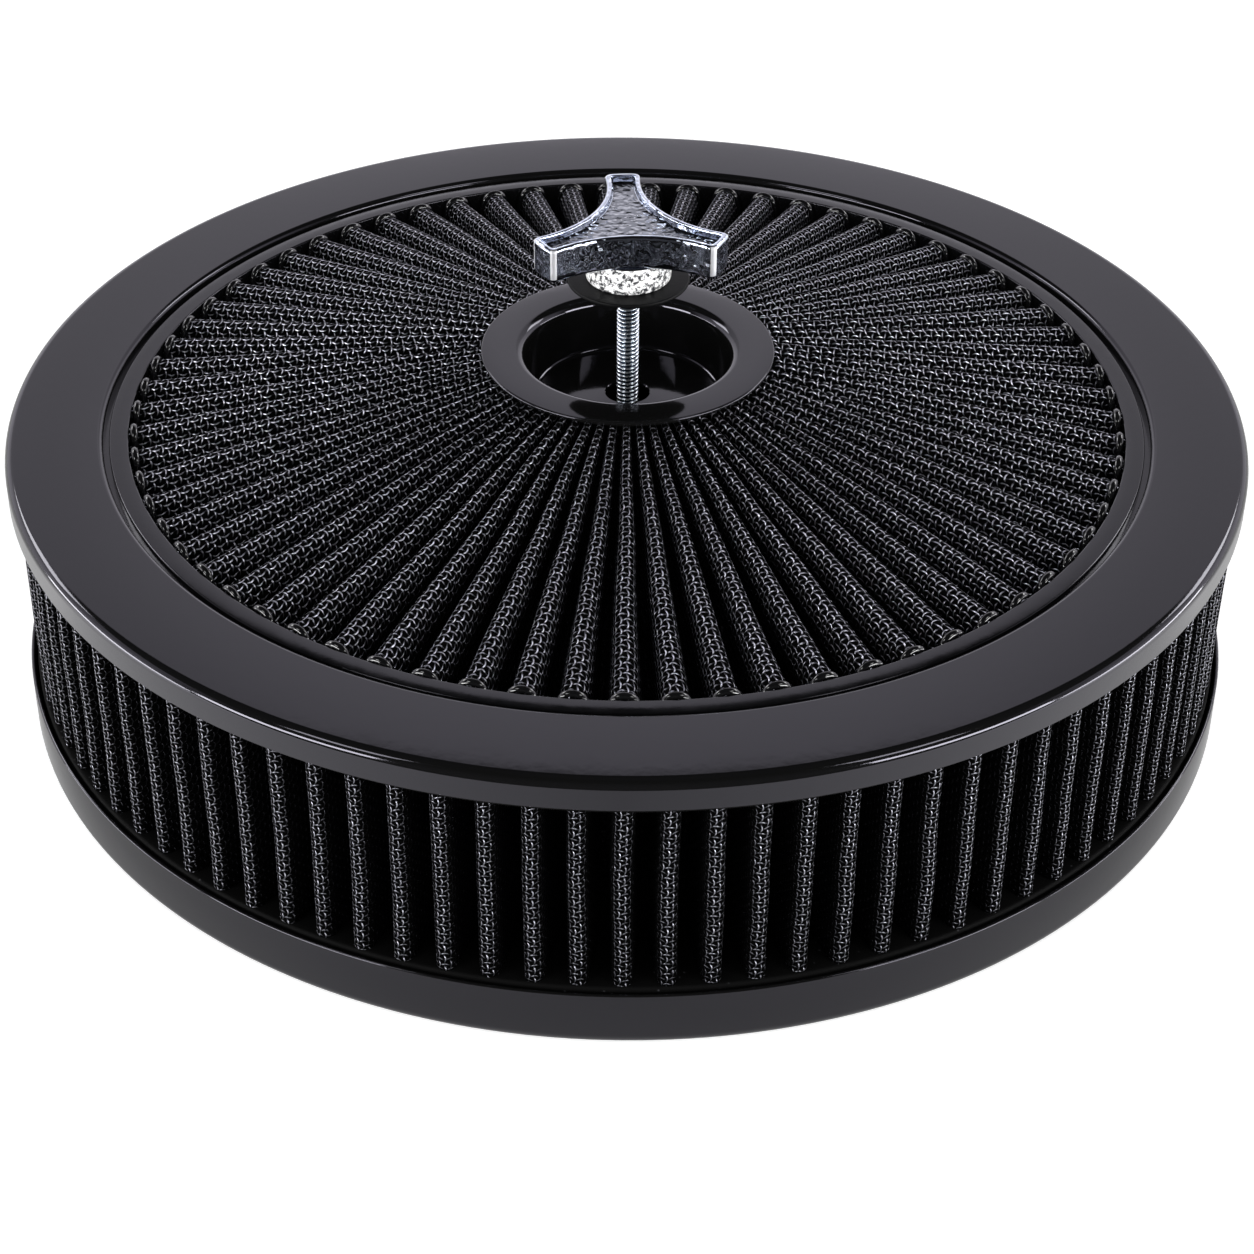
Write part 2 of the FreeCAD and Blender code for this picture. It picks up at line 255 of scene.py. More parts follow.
# %% [markdown]
# ## Filter sheet: coated wire screen over cotton gauze
# Each filter is a pleated sandwich: black cotton gauze between two black screens of woven wire. On
# the side filter the wires stand 1.59 mm apart, sixteen to the inch, and each runs over one cross
# wire and under the next. The pattern is worked out in the sheet's own UV map, whose unit is one
# wire spacing: from the nearest wire's number comes its wave, and from the wave its place, its
# round top and its slope. Real wires would need millions of faces.

# %% Woven screen: one set of wires
WIRE_RADIUS_SHARE = 0.1
WIRE_SWAY = 0.13
CRIMP_RISE = 0.35
CRIMP_SLOPE = 0.5

screen, tree, shader = finish_named(
    "black_coated_wire_screen_woven", [("IOR", 1.5), ("Specular IOR Level", 0.03)]
)


def wire(tree, across, along, over):
    """Height, lean, slope, round top and knuckle highlight of the wires that run along.
    The knuckle highlight is the share of painted highlight, largest where a wire is on top.

    The wave starts on top where over is 1, and underneath where it is -1. A step of the table names
    its result, its operation, and what goes in: numbers, and names of earlier results.
    """
    made = {"across": across, "along": along}
    for name, operation, *values in (
        ("number", "ROUND", "across"),
        ("phase", "ADD", "number", "along"),
        ("turn", "MULTIPLY", "phase", pi),
        ("cosine", "COSINE", "turn"),
        ("wave", "MULTIPLY", "cosine", over),
        ("centre", "MULTIPLY_ADD", "wave", WIRE_SWAY, "number"),
        ("off_centre", "SUBTRACT", "across", "centre"),
        ("lean", "DIVIDE", "off_centre", WIRE_RADIUS_SHARE),
        ("lean_squared", "MULTIPLY", "lean", "lean"),
        ("dome_squared", "SUBTRACT", 1.0, "lean_squared"),
        ("dome", "SQRT", "dome_squared"),
        ("lift", "MULTIPLY_ADD", "wave", CRIMP_RISE, 1.0),
        ("height", "MULTIPLY", "dome", "lift"),
        ("sine", "SINE", "turn"),
        ("slope", "MULTIPLY", "sine", CRIMP_SLOPE * over),
    ):
        inputs = [(i, made.get(value, value)) for i, value in enumerate(values)]
        node = add(tree, "ShaderNodeMath", inputs, operation=operation, use_clamp=name == "dome_squared")
        made[name] = node.outputs[0]
    knuckle_highlight = add(
        tree,
        "ShaderNodeMapRange",
        [("Value", made["wave"]), ("From Min", -0.5), ("From Max", 0.6)],
        interpolation_type="SMOOTHSTEP",
    ).outputs[0]
    return made["height"], made["lean"], made["slope"], made["dome"], knuckle_highlight


# %% [markdown]
# No two pleats show the same wires: each has its own shift of the weave, and a slow noise slackens
# the wires by up to about one spacing. Where the two sets cross, the higher wire is the one seen.

# %% Woven screen: both sets, and which is on top
SHIFT_ACROSS = 0.6
SLACK = (0.7, 1.2, 0.0)
WIRE_EDGE = 0.05

sheet_uv = add(tree, "ShaderNodeUVMap", uv_map="sheet").outputs["UV"]
shift = add(tree, "ShaderNodeAttribute", attribute_name="pleat_shift").outputs["Fac"]
across_shift = add(
    tree, "ShaderNodeMath", [(0, shift), (1, SHIFT_ACROSS)], operation="MULTIPLY"
).outputs[0]
shift_both = add(tree, "ShaderNodeCombineXYZ", [("X", across_shift), ("Y", shift)]).outputs[0]
moved = add(tree, "ShaderNodeVectorMath", [(0, sheet_uv), (1, shift_both)], operation="ADD").outputs[0]
slack = add(
    tree, "ShaderNodeTexNoise", [("Vector", moved), ("Scale", 0.22), ("Detail", 1.0)]
).outputs["Color"]
slack_both = add(tree, "ShaderNodeVectorMath", [(0, slack), (1, SLACK)], operation="MULTIPLY").outputs[0]
moved = add(tree, "ShaderNodeVectorMath", [(0, moved), (1, slack_both)], operation="ADD").outputs[0]
parts = add(tree, "ShaderNodeSeparateXYZ", [("Vector", moved)]).outputs
warp_height, warp_lean, warp_slope, warp_dome, warp_knuckle_highlight = wire(tree, parts["X"], parts["Y"], 1.0)
weft_height, weft_lean, weft_slope, weft_dome, weft_knuckle_highlight = wire(tree, parts["Y"], parts["X"], -1.0)
warp_on_top = add(
    tree, "ShaderNodeMath", [(0, warp_height), (1, weft_height)], operation="GREATER_THAN"
).outputs[0]
higher = add(
    tree, "ShaderNodeMath", [(0, warp_height), (1, weft_height)], operation="MAXIMUM"
).outputs[0]
is_wire = add(tree, "ShaderNodeMath", [(0, higher), (1, WIRE_EDGE)], operation="GREATER_THAN").outputs[0]
knuckle_highlight = add(
    tree, "ShaderNodeMix", [("Factor", warp_on_top), (2, weft_knuckle_highlight), (3, warp_knuckle_highlight)]
).outputs[0]
print("screen nodes so far", len(tree.nodes))

# %% [markdown]
# The wires' round tops are given as a normal map that is worked out, not painted, so that a wire
# glints on one side as a round bar does. The gauze between them only has the tangle of its threads.

# %% Woven screen: relief
HALF = (0.5, 0.5, 0.5)

warp_normal = add(
    tree, "ShaderNodeCombineXYZ", [("X", warp_lean), ("Y", warp_slope), ("Z", warp_dome)]
).outputs[0]
weft_normal = add(
    tree, "ShaderNodeCombineXYZ", [("X", weft_slope), ("Y", weft_lean), ("Z", weft_dome)]
).outputs[0]
top_normal = add(
    tree,
    "ShaderNodeMix",
    [("Factor", warp_on_top), (4, weft_normal), (5, warp_normal)],
    data_type="VECTOR",
).outputs[1]
threads = add(tree, "ShaderNodeTexNoise", [("Vector", sheet_uv), ("Scale", 6.0), ("Detail", 1.0)])
gauze_normal = add(
    tree,
    "ShaderNodeVectorMath",
    [(0, threads.outputs["Color"]), (1, (0.5, 0.5, -0.5))],
    operation="SUBTRACT",
).outputs[0]
sheet_normal = add(
    tree, "ShaderNodeMix", [("Factor", is_wire), (4, gauze_normal), (5, top_normal)], data_type="VECTOR"
).outputs[1]
unit = add(tree, "ShaderNodeVectorMath", [(0, sheet_normal)], operation="NORMALIZE").outputs[0]
packed = add(
    tree, "ShaderNodeVectorMath", [(0, unit), (1, HALF), (2, HALF)], operation="MULTIPLY_ADD"
).outputs[0]
relief = add(tree, "ShaderNodeNormalMap", [("Strength", 1.0), ("Color", packed)], uv_map="sheet")
tree.links.new(relief.outputs["Normal"], shader.inputs["Normal"])

# %% [markdown]
# The black coat is thin and shines like dark metal. Its colour carries a painted highlight on the
# knuckles, where a wire comes to the top, so a wire shows as a row of dashes. Down in the folds the
# colour is painted shade that darkens with depth, the cross wires are painted a little darker as
# painted shade, and patches of a few wires are duller than others.

# %% Woven screen: tone and gloss
# Painted highlight: the coat's colour runs from dark to pale with the knuckle highlight.
coat_with_painted_light = add(
    tree,
    "ShaderNodeMix",
    [("Factor", knuckle_highlight), (6, linear("#38383E")), (7, linear("#E8E8F6"))],
    data_type="RGBA",
).outputs[2]
depth = add(tree, "ShaderNodeAttribute", attribute_name="depth").outputs["Fac"]
# Painted shade: the coat is darkened with its depth below the crest, so the folds are painted dark.
painted_fold_shade = add(
    tree,
    "ShaderNodeMapRange",
    [("Value", depth), ("From Min", 0.24), ("From Max", 0.66), ("To Min", 1.0), ("To Max", 0.04)],
    interpolation_type="SMOOTHSTEP",
).outputs[0]
patch = add(
    tree, "ShaderNodeTexNoise", [("Vector", moved), ("Scale", 0.9), ("Detail", 1.0)]
).outputs["Fac"]
patchy = add(
    tree,
    "ShaderNodeMapRange",
    [("Value", patch), ("From Min", 0.35), ("From Max", 0.65), ("To Min", 0.42), ("To Max", 1.2)],
).outputs[0]
# Painted shade: where a cross wire is on top, its colour is painted darker.
painted_weft_shade = add(
    tree, "ShaderNodeMath", [(0, warp_on_top), (1, 0.4), (2, 0.6)], operation="MULTIPLY_ADD"
).outputs[0]
painted_shade_and_dullness = painted_fold_shade
for share in (patchy, painted_weft_shade):
    painted_shade_and_dullness = add(tree, "ShaderNodeMath", [(0, painted_shade_and_dullness), (1, share)], operation="MULTIPLY").outputs[0]
coat_with_painted_light = add(tree, "ShaderNodeVectorMath", [(0, coat_with_painted_light), ("Scale", painted_shade_and_dullness)], operation="SCALE").outputs[0]
tint = add(
    tree, "ShaderNodeMix", [("Factor", is_wire), (6, linear("#010101")), (7, coat_with_painted_light)], data_type="RGBA"
).outputs[2]
tree.links.new(tint, shader.inputs["Base Color"])
tree.links.new(is_wire, shader.inputs["Metallic"])
gloss = add(
    tree, "ShaderNodeMapRange", [("Value", is_wire), ("To Min", 0.95), ("To Max", 0.32)]
).outputs[0]
tree.links.new(gloss, shader.inputs["Roughness"])
print("screen nodes", len(tree.nodes))

# %% [markdown]
# ## Chrome plate
# The knob is a zinc casting with bright chrome over it. Rim and sides are polished, but the casting
# ripples under the plate, which breaks the mirror into patches of 3 mm. The sunk face is pebbled
# with dimples about 1.6 mm across, and its chrome has a darker base colour, painted shade for the
# darker reflection there. The corners of the arms are buffed and shine softly, and the band round
# the boss carries a painted reflection: a white base colour with dark speckles.

# %% Polished and pebbled chrome
POLISHED = [("Base Color", linear("#D3DAE8")), ("Metallic", 1.0)]
chrome, tree, shader = finish_named("chrome_plate_polished", POLISHED)
place = add(tree, "ShaderNodeTexCoord").outputs["Object"]
smear = add(tree, "ShaderNodeTexNoise", [("Vector", place), ("Scale", 160.0), ("Detail", 4.0)])
smear_range = add(
    tree, "ShaderNodeMapRange", [("Value", smear.outputs["Fac"]), ("To Min", 0.03), ("To Max", 0.08)]
)
tree.links.new(smear_range.outputs["Result"], shader.inputs["Roughness"])
ripple = add(tree, "ShaderNodeTexNoise", [("Vector", place), ("Scale", 380.0), ("Detail", 0.4)])
ripple_bump = add(
    tree, "ShaderNodeBump", [("Strength", 0.6), ("Distance", 0.0006), ("Height", ripple.outputs["Fac"])]
)
tree.links.new(ripple_bump.outputs["Normal"], shader.inputs["Normal"])

# The darker base colour of the sunk face's chrome is painted shade for its darker reflection.
pebbled, tree, shader = finish_named(
    "chrome_plate_pebbled", [("Base Color", linear("#8A8D94")), ("Metallic", 1.0), ("Roughness", 0.07)]
)
place = add(tree, "ShaderNodeTexCoord").outputs["Object"]
swirl = add(
    tree, "ShaderNodeTexNoise", [("Vector", place), ("Scale", 260.0), ("Detail", 1.0)]
).outputs["Color"]
swirl_place = add(
    tree,
    "ShaderNodeVectorMath",
    [(0, swirl), (1, (0.0016, 0.0016, 0.0)), (2, place)],
    operation="MULTIPLY_ADD",
).outputs[0]
pebbles = add(tree, "ShaderNodeTexNoise", [("Vector", swirl_place), ("Scale", 620.0), ("Detail", 0.3)])
pebble_bump = add(
    tree, "ShaderNodeBump", [("Strength", 1.0), ("Distance", 0.0005), ("Height", pebbles.outputs["Fac"])]
)
tree.links.new(pebble_bump.outputs["Normal"], shader.inputs["Normal"])

# %% Buffed corners and the boss's painted reflection
satin_corner, tree, shader = finish_named(
    "chrome_plate_satin_at_corners", [("Base Color", linear("#E8E9EC")), ("Metallic", 1.0)]
)
place = add(tree, "ShaderNodeTexCoord").outputs["Object"]
buffed = add(tree, "ShaderNodeTexNoise", [("Vector", place), ("Scale", 900.0), ("Detail", 2.0)])
buffed_range = add(
    tree, "ShaderNodeMapRange", [("Value", buffed.outputs["Fac"]), ("To Min", 0.5), ("To Max", 0.7)]
)
tree.links.new(buffed_range.outputs["Result"], shader.inputs["Roughness"])

# Painted reflection: a white base colour with dark speckles stands in for the bright, speckled
# reflection on the boss.
boss_painted_reflection, tree, shader = finish_named(
    "chrome_boss_painted_speckled_reflection", [("Metallic", 0.1), ("Roughness", 0.4)]
)
place = add(tree, "ShaderNodeTexCoord").outputs["Object"]
reflection_speckle_noise = add(
    tree,
    "ShaderNodeTexNoise",
    [("Vector", place), ("Scale", 750.0), ("Detail", 3.0), ("Roughness", 0.8)],
)
reflection_speckle_mask = add(
    tree, "ShaderNodeMapRange", [("Value", reflection_speckle_noise.outputs["Fac"]), ("From Min", 0.44), ("From Max", 0.54)]
).outputs["Result"]
painted_speckled_reflection = add(
    tree,
    "ShaderNodeMix",
    [("Factor", reflection_speckle_mask), (6, linear("#2C2D30")), (7, linear("#FFFFFF"))],
    data_type="RGBA",
).outputs[2]
tree.links.new(painted_speckled_reflection, shader.inputs["Base Color"])

# %% [markdown]
# ## Bright zinc plate
# The stud is plated with bright zinc, a little less sharp than the chrome. The crests of its thread
# are pale and slightly blue, and the roots are painted dark as painted shade, so the tone is read from
# how far a point lies from the axis.

# %% Bright zinc plate
ROOT_RADIUS = 0.00272
CREST_RADIUS = 0.00308

zinc, tree, shader = finish_named("bright_zinc_plate", [("Metallic", 1.0)])
place = add(tree, "ShaderNodeTexCoord").outputs["Object"]
flat_place = add(
    tree, "ShaderNodeVectorMath", [(0, place), (1, (1.0, 1.0, 0.0))], operation="MULTIPLY"
).outputs[0]
from_axis = add(tree, "ShaderNodeVectorMath", [(0, flat_place)], operation="LENGTH").outputs["Value"]
thread_shade_share = add(
    tree,
    "ShaderNodeMapRange",
    [("Value", from_axis), ("From Min", ROOT_RADIUS), ("From Max", CREST_RADIUS)],
).outputs["Result"]
# Painted shade: dark in the thread's roots, pale on its crests.
painted_thread_shade_tone = add(
    tree,
    "ShaderNodeMix",
    [("Factor", thread_shade_share), (6, linear("#27313F")), (7, linear("#F0F6FF"))],
    data_type="RGBA",
).outputs[2]
tree.links.new(painted_thread_shade_tone, shader.inputs["Base Color"])
plating = add(tree, "ShaderNodeTexNoise", [("Vector", place), ("Scale", 900.0), ("Detail", 3.0)])
plating_range = add(
    tree, "ShaderNodeMapRange", [("Value", plating.outputs["Fac"]), ("To Min", 0.22), ("To Max", 0.32)]
)
tree.links.new(plating_range.outputs["Result"], shader.inputs["Roughness"])
print("finishes", sorted(m.name for m in bpy.data.materials if "_" in m.name))

# %% [markdown]
# ## Turned shapes
# Every pressed and moulded ring is round, so each is one closed section turned about the axis. The
# section is written as points and arcs in (radius, height), and 256 steps round the turn keep the
# rims smooth at the size of a close view. Edges sharper than 32 degrees stay crisp.


# %% Mesh helpers
def arc(centre_r, centre_z, radius, start, end, steps):
    """Points of an arc of the section, from start to end in degrees."""
    angles = [radians(start + (end - start) * i / steps) for i in range(steps + 1)]
    return [(centre_r + radius * cos(a), centre_z + radius * sin(a)) for a in angles]


def mesh_object(name, points, faces, material, sharp=32):
    """An object at the origin from points in millimetres."""
    mesh = bpy.data.meshes.new(name)
    mesh.from_pydata([(x * MM, y * MM, z * MM) for x, y, z in points], [], faces)
    mesh.shade_smooth()
    mesh.set_sharp_from_angle(angle=radians(sharp))
    mesh.materials.append(material)
    mesh.validate()
    obj = bpy.data.objects.new(name, mesh)
    bpy.context.scene.collection.objects.link(obj)
    return obj


def turned(name, section, material, steps=256):
    """A closed section of (radius, height) points, anticlockwise, turned about the axis."""
    points = []
    for i in range(steps):
        a = 2 * pi * i / steps
        points += [(r * cos(a), r * sin(a), z) for r, z in section]
    n = len(section)
    faces = []
    for i in range(steps):
        j = (i + 1) % steps
        for k in range(n):
            m = (k + 1) % n
            faces.append((i * n + k, j * n + k, j * n + m, i * n + m))
    return mesh_object(name, points, faces, material)


def joined(obj, *others):
    """Adds the others' meshes to the object's own."""
    with bpy.context.temp_override(
        active_object=obj, selected_editable_objects=[obj, *others], selected_objects=[obj, *others]
    ):
        bpy.ops.object.join()


def dress(obj, node, body):
    """Hides the CAD node that a finished piece stands for, and makes the piece move with its body."""
    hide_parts(node)
    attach(obj, body)
    print(node, "faces", len(obj.data.polygons))


# %% [markdown]
# ## Base pan
# The pan is one pressing: an upright rim, a generous rounded corner down to a narrow foot, and a
# raised seat that carries the element, with a turned-down collar at the neck.

# %% Base pan
BASE_OUTER_RADIUS = 178.0
BASE_RIM_HEIGHT = 17.5
BASE_CORNER_RADIUS = 4.0
FOOT_WIDTH = 8.0
FOOT_STEP_RUN = 4.0
NECK_BORE_RADIUS = 65.1
COLLAR_OUTER_RADIUS = 66.3
COLLAR_BOTTOM = 1.0
COLLAR_BEND = 1.2

corner_r = BASE_OUTER_RADIUS - BASE_CORNER_RADIUS
foot_inner = corner_r - FOOT_WIDTH
seat_outer = foot_inner - FOOT_STEP_RUN
underside = SEAT_HEIGHT - SHEET
rim_round = SHEET / 2
bend_r, bend_z = COLLAR_OUTER_RADIUS + COLLAR_BEND, SEAT_HEIGHT - SHEET - COLLAR_BEND
section = (
    arc(corner_r, BASE_CORNER_RADIUS, BASE_CORNER_RADIUS, -90, 0, 12)
    + arc(BASE_OUTER_RADIUS - rim_round, BASE_RIM_HEIGHT - rim_round, rim_round, 0, 180, 8)
    + arc(corner_r, BASE_CORNER_RADIUS, BASE_CORNER_RADIUS - SHEET, 0, -90, 8)
    + [(foot_inner + 0.5, SHEET), (foot_inner - 0.5, SHEET + EDGE)]
    + [(seat_outer + 0.5, SEAT_HEIGHT - EDGE), (seat_outer - 0.5, SEAT_HEIGHT)]
    + arc(bend_r, bend_z, COLLAR_BEND + SHEET, 90, 180, 8)
    + [(NECK_BORE_RADIUS, COLLAR_BOTTOM + EDGE), (NECK_BORE_RADIUS + EDGE, COLLAR_BOTTOM)]
    + [(COLLAR_OUTER_RADIUS - EDGE, COLLAR_BOTTOM), (COLLAR_OUTER_RADIUS, COLLAR_BOTTOM + EDGE)]
    + arc(bend_r, bend_z, COLLAR_BEND, 180, 90, 6)
    + [(seat_outer - 0.8, underside), (seat_outer + 0.2, underside - EDGE)]
    + [(foot_inner - 0.4, 0.3), (foot_inner + 0.4, 0.0)]
)
base_pan = turned("base_pan_pressing", section, enamel)
dress(base_pan, "base_pan", "housing")

# %% [markdown]
# ## Neck gasket
# A flat rubber ring with cut edges, pressed up round the neck collar until it meets the seat.

# %% Neck gasket
inner, outer, low, high = COLLAR_OUTER_RADIUS, 77.3, 3.4, 7.4
section = [
    (inner + EDGE, low), (outer - EDGE, low), (outer, low + EDGE), (outer, high - EDGE),
    (outer - EDGE, high), (inner + EDGE, high), (inner, high - EDGE), (inner, low + EDGE),
]
gasket = turned("neck_gasket_ring", section, rubber)
dress(gasket, "neck_gasket", "housing")

# %% [markdown]
# ## End rings of the element
# Cast urethane rings hold the pleats at both ends. Their edges are slightly rounded by the mould.


# %% End rings
def soft_ring(name, inner, outer, bottom, top, radius, material):
    """Ring with a rounded rectangular section."""
    section = (
        arc(inner + radius, bottom + radius, radius, 180, 270, 5)
        + arc(outer - radius, bottom + radius, radius, 270, 360, 5)
        + arc(outer - radius, top - radius, radius, 0, 90, 5)
        + arc(inner + radius, top - radius, radius, 90, 180, 5)
    )
    return turned(name, section, material)


MOULD_ROUND = 0.9
bottom_ring = soft_ring(
    "element_bottom_moulding", ELEMENT_INNER_RADIUS, ELEMENT_OUTER_RADIUS,
    SEAT_HEIGHT, SEAT_HEIGHT + END_RING_THICKNESS, MOULD_ROUND, urethane,
)
dress(bottom_ring, "element_bottom_ring", "housing")
top_ring = soft_ring(
    "element_top_moulding", ELEMENT_INNER_RADIUS, ELEMENT_OUTER_RADIUS,
    ELEMENT_TOP - END_RING_THICKNESS, ELEMENT_TOP, MOULD_ROUND, urethane,
)
dress(top_ring, "element_top_ring", "housing")

# %% [markdown]
# ## Lid ring
# The flat steel ring of the lid turns down at its rim in a 2.8 mm corner, which draws the bright
# line round the lid, and rolls down at the inside to a lip.

# %% Lid ring
LID_OUTER_RADIUS = 177.8
LID_CORNER_RADIUS = 2.8
LID_SKIRT_DEPTH = 8.8
LID_LIP_ROLL = 1.7
LID_LIP_DEPTH = 9.0

skirt_inner = LID_OUTER_RADIUS - SHEET
skirt_bottom = LID_TOP - LID_SKIRT_DEPTH
lip_bottom = LID_TOP - LID_LIP_DEPTH
corner_r, corner_z = LID_OUTER_RADIUS - LID_CORNER_RADIUS, LID_TOP - LID_CORNER_RADIUS
section = (
    [(skirt_inner + EDGE, skirt_bottom), (LID_OUTER_RADIUS - EDGE, skirt_bottom)]
    + [(LID_OUTER_RADIUS, skirt_bottom + EDGE)]
    + arc(corner_r, corner_z, LID_CORNER_RADIUS, 0, 90, 14)
    + arc(LIP_INNER_RADIUS + LID_LIP_ROLL, LID_TOP - LID_LIP_ROLL, LID_LIP_ROLL, 90, 180, 12)
    + [(LIP_INNER_RADIUS, lip_bottom), (LIP_INNER_RADIUS + SHEET, lip_bottom)]
    + [(LIP_INNER_RADIUS + SHEET, LID_TOP - SHEET)]
    + arc(corner_r, corner_z, LID_CORNER_RADIUS - SHEET, 90, 0, 8)
    + [(skirt_inner, skirt_bottom + EDGE)]
)
lid_ring = turned("lid_ring_pressing", section, enamel)
dress(lid_ring, "lid_ring", "housing")

# %% [markdown]
# ## Frame round the top filter, and the ring inside it
# The poured frame lies 1.2 mm under the lid's flat, behind a narrow groove that stays black. Its
# ledge rises by a tenth of a millimetre towards the pleats. The inner ring, under the flange of the
# hub, is a plain moulding.

# %% Poured frame and moulded inner ring
FRAME_BOTTOM = 70.4
GROOVE_WIDTH = 1.6
GROOVE_DEPTH = 2.2
LEDGE_ROUND = 0.5
LEDGE_RISE = 0.1
INNER_RING_BOTTOM = 92.1

ledge_edge = LIP_INNER_RADIUS - GROOVE_WIDTH
groove_floor = LEDGE_TOP - GROOVE_DEPTH
section = (
    [(FRAME_INNER_RADIUS, FRAME_BOTTOM), (LIP_INNER_RADIUS, FRAME_BOTTOM)]
    + [(LIP_INNER_RADIUS, groove_floor), (ledge_edge, groove_floor)]
    + arc(ledge_edge - LEDGE_ROUND, LEDGE_TOP - LEDGE_ROUND - LEDGE_RISE, LEDGE_ROUND, 0, 89, 5)
    + arc(FRAME_INNER_RADIUS + LEDGE_ROUND, LEDGE_TOP - LEDGE_ROUND, LEDGE_ROUND, 87, 180, 5)
)
outer_frame = turned("top_filter_frame_moulding", section, poured)
inner_ring = soft_ring(
    "top_filter_inner_moulding", HUB_WALL_RADIUS, TOP_MEDIA_INNER_RADIUS,
    INNER_RING_BOTTOM, HUB_FLANGE_UNDERSIDE, 0.4, urethane,
)
dress(inner_ring, "top_inner_ring", "housing")

# %% [markdown]
# ## Hub cup
# A deep-drawn cup with a flat mirror-like flange. The mouth rolls over with a 3 mm radius, the wall
# tapers a little, and the floor has a hole for the stud.

# %% Hub cup
HUB_MOUTH_ROLL = 3.0
HUB_FLOOR_HOLE_RADIUS = 6.35
FLOOR_FILLET = 1.7
FLANGE_ROUND = 0.5

fillet_r, fillet_z = HUB_OPENING_RADIUS - 3.3, HUB_FLOOR_TOP + 0.1
section = (
    [(HUB_FLOOR_HOLE_RADIUS + EDGE, HUB_FLOOR_TOP - SHEET)]
    + arc(fillet_r, fillet_z, FLOOR_FILLET + SHEET, -85, 0, 12)
    + [(HUB_WALL_RADIUS, HUB_FLANGE_UNDERSIDE), (HUB_FLANGE_RADIUS - EDGE, HUB_FLANGE_UNDERSIDE)]
    + arc(HUB_FLANGE_RADIUS - FLANGE_ROUND, HUB_TOP - FLANGE_ROUND, FLANGE_ROUND, 0, 90, 5)
    + arc(HUB_OPENING_RADIUS + HUB_MOUTH_ROLL, HUB_TOP - HUB_MOUTH_ROLL, HUB_MOUTH_ROLL, 90, 180, 16)
    + arc(fillet_r, fillet_z, FLOOR_FILLET, 0, -85, 12)
    + [(HUB_FLOOR_HOLE_RADIUS + EDGE, HUB_FLOOR_TOP), (HUB_FLOOR_HOLE_RADIUS, HUB_FLOOR_TOP - EDGE)]
    + [(HUB_FLOOR_HOLE_RADIUS, HUB_FLOOR_TOP - SHEET + EDGE)]
)
hub_cup = turned("hub_cup_pressing", section, enamel, 192)
dress(hub_cup, "hub_cup", "housing")

# %% [markdown]
# ## Pleated filters
# A pleated sheet is one fold repeated round the turn, which is what Geometry Nodes is for. A single
# pleat is drawn as a strip with its UV map in wire spacings. The tree instances it round the axis,
# gives each copy its own shift of the weave, welds the copies, and lets them wander a little.

# %% The section of one pleat
MEDIA_THICKNESS = 1.6
VALLEY_STEPS = 3
CREST_STEPS = 7


def fold(crest, valley, floor, centre, pitch):
    """One face of a pleat as (along, height): valley arc, flank, crest arc, and down again."""
    rise = centre - floor - valley
    slope = atan2(rise, pitch / 2) + asin((crest + valley) / hypot(pitch / 2, rise))
    half = []
    for i in range(VALLEY_STEPS + 1):
        a = -pi / 2 + slope * i / VALLEY_STEPS
        half.append((-pitch / 2 + valley * cos(a), floor + valley + valley * sin(a)))
    for i in range(CREST_STEPS + 1):
        a = pi / 2 + slope - slope * i / CREST_STEPS
        half.append((crest * cos(a), centre + crest * sin(a)))
    return half + [(-x, y) for x, y in half[-2::-1]]


def pleat_profile(crest, valley, depth, pitch):
    """The front of one pleat, and its back one sheet behind it, from valley to valley."""
    centre = depth - crest
    front = fold(crest, valley, 0.0, centre, pitch)
    back = fold(crest - MEDIA_THICKNESS, valley + MEDIA_THICKNESS, -MEDIA_THICKNESS, centre, pitch)
    return front, back


# %% From the section to a strip
def sheet_rows(profile, steps, place):
    """Rows of a pleat. place(along, height, across, share) gives a point, its UV and its depth."""
    lengths = [0.0]
    for a, b in zip(profile, profile[1:]):
        lengths.append(lengths[-1] + hypot(b[0] - a[0], b[1] - a[1]))
    across = [length - lengths[-1] / 2 for length in lengths]
    return [
        [place(along, height, u, i / steps) for (along, height), u in zip(profile, across)]
        for i in range(steps + 1)
    ]


def strip(name, rows_front, rows_back, material, spacing):
    """A closed strip from rows of (point, place across, place along, depth), front and back, in step."""
    columns = len(rows_front[0])
    points, uv, depths = [], [], []
    for row in rows_front + rows_back:
        for point, u, v, depth in row:
            points.append(point)
            uv.append((u / spacing, v / spacing))
            depths.append(depth)
    count = len(rows_front)
    back_start = count * columns
    faces = []
    for i in range(count - 1):
        for k in range(columns - 1):
            a, b = i * columns + k, (i + 1) * columns + k
            faces.append((a, a + 1, b + 1, b))
            a, b = back_start + a, back_start + b
            faces.append((a, b, b + 1, a + 1))
    for k in range(columns - 1):
        faces.append((k + 1, k, back_start + k, back_start + k + 1))
        last = (count - 1) * columns + k
        faces.append((last, last + 1, back_start + last + 1, back_start + last))
    obj = mesh_object(name, points, faces, material, 60)
    layer = obj.data.uv_layers.new(name="sheet")
    for loop in obj.data.loops:
        layer.data[loop.index].uv = uv[loop.vertex_index]
    obj.data.attributes.new("depth", "FLOAT", "POINT").data.foreach_set("value", depths)
    return obj


# %% [markdown]
# A tree's sizes are its named inputs. A modifier's input is set by the socket's identifier, so the
# helper keeps the identifier of each name, and a second helper turns the result into a plain mesh.


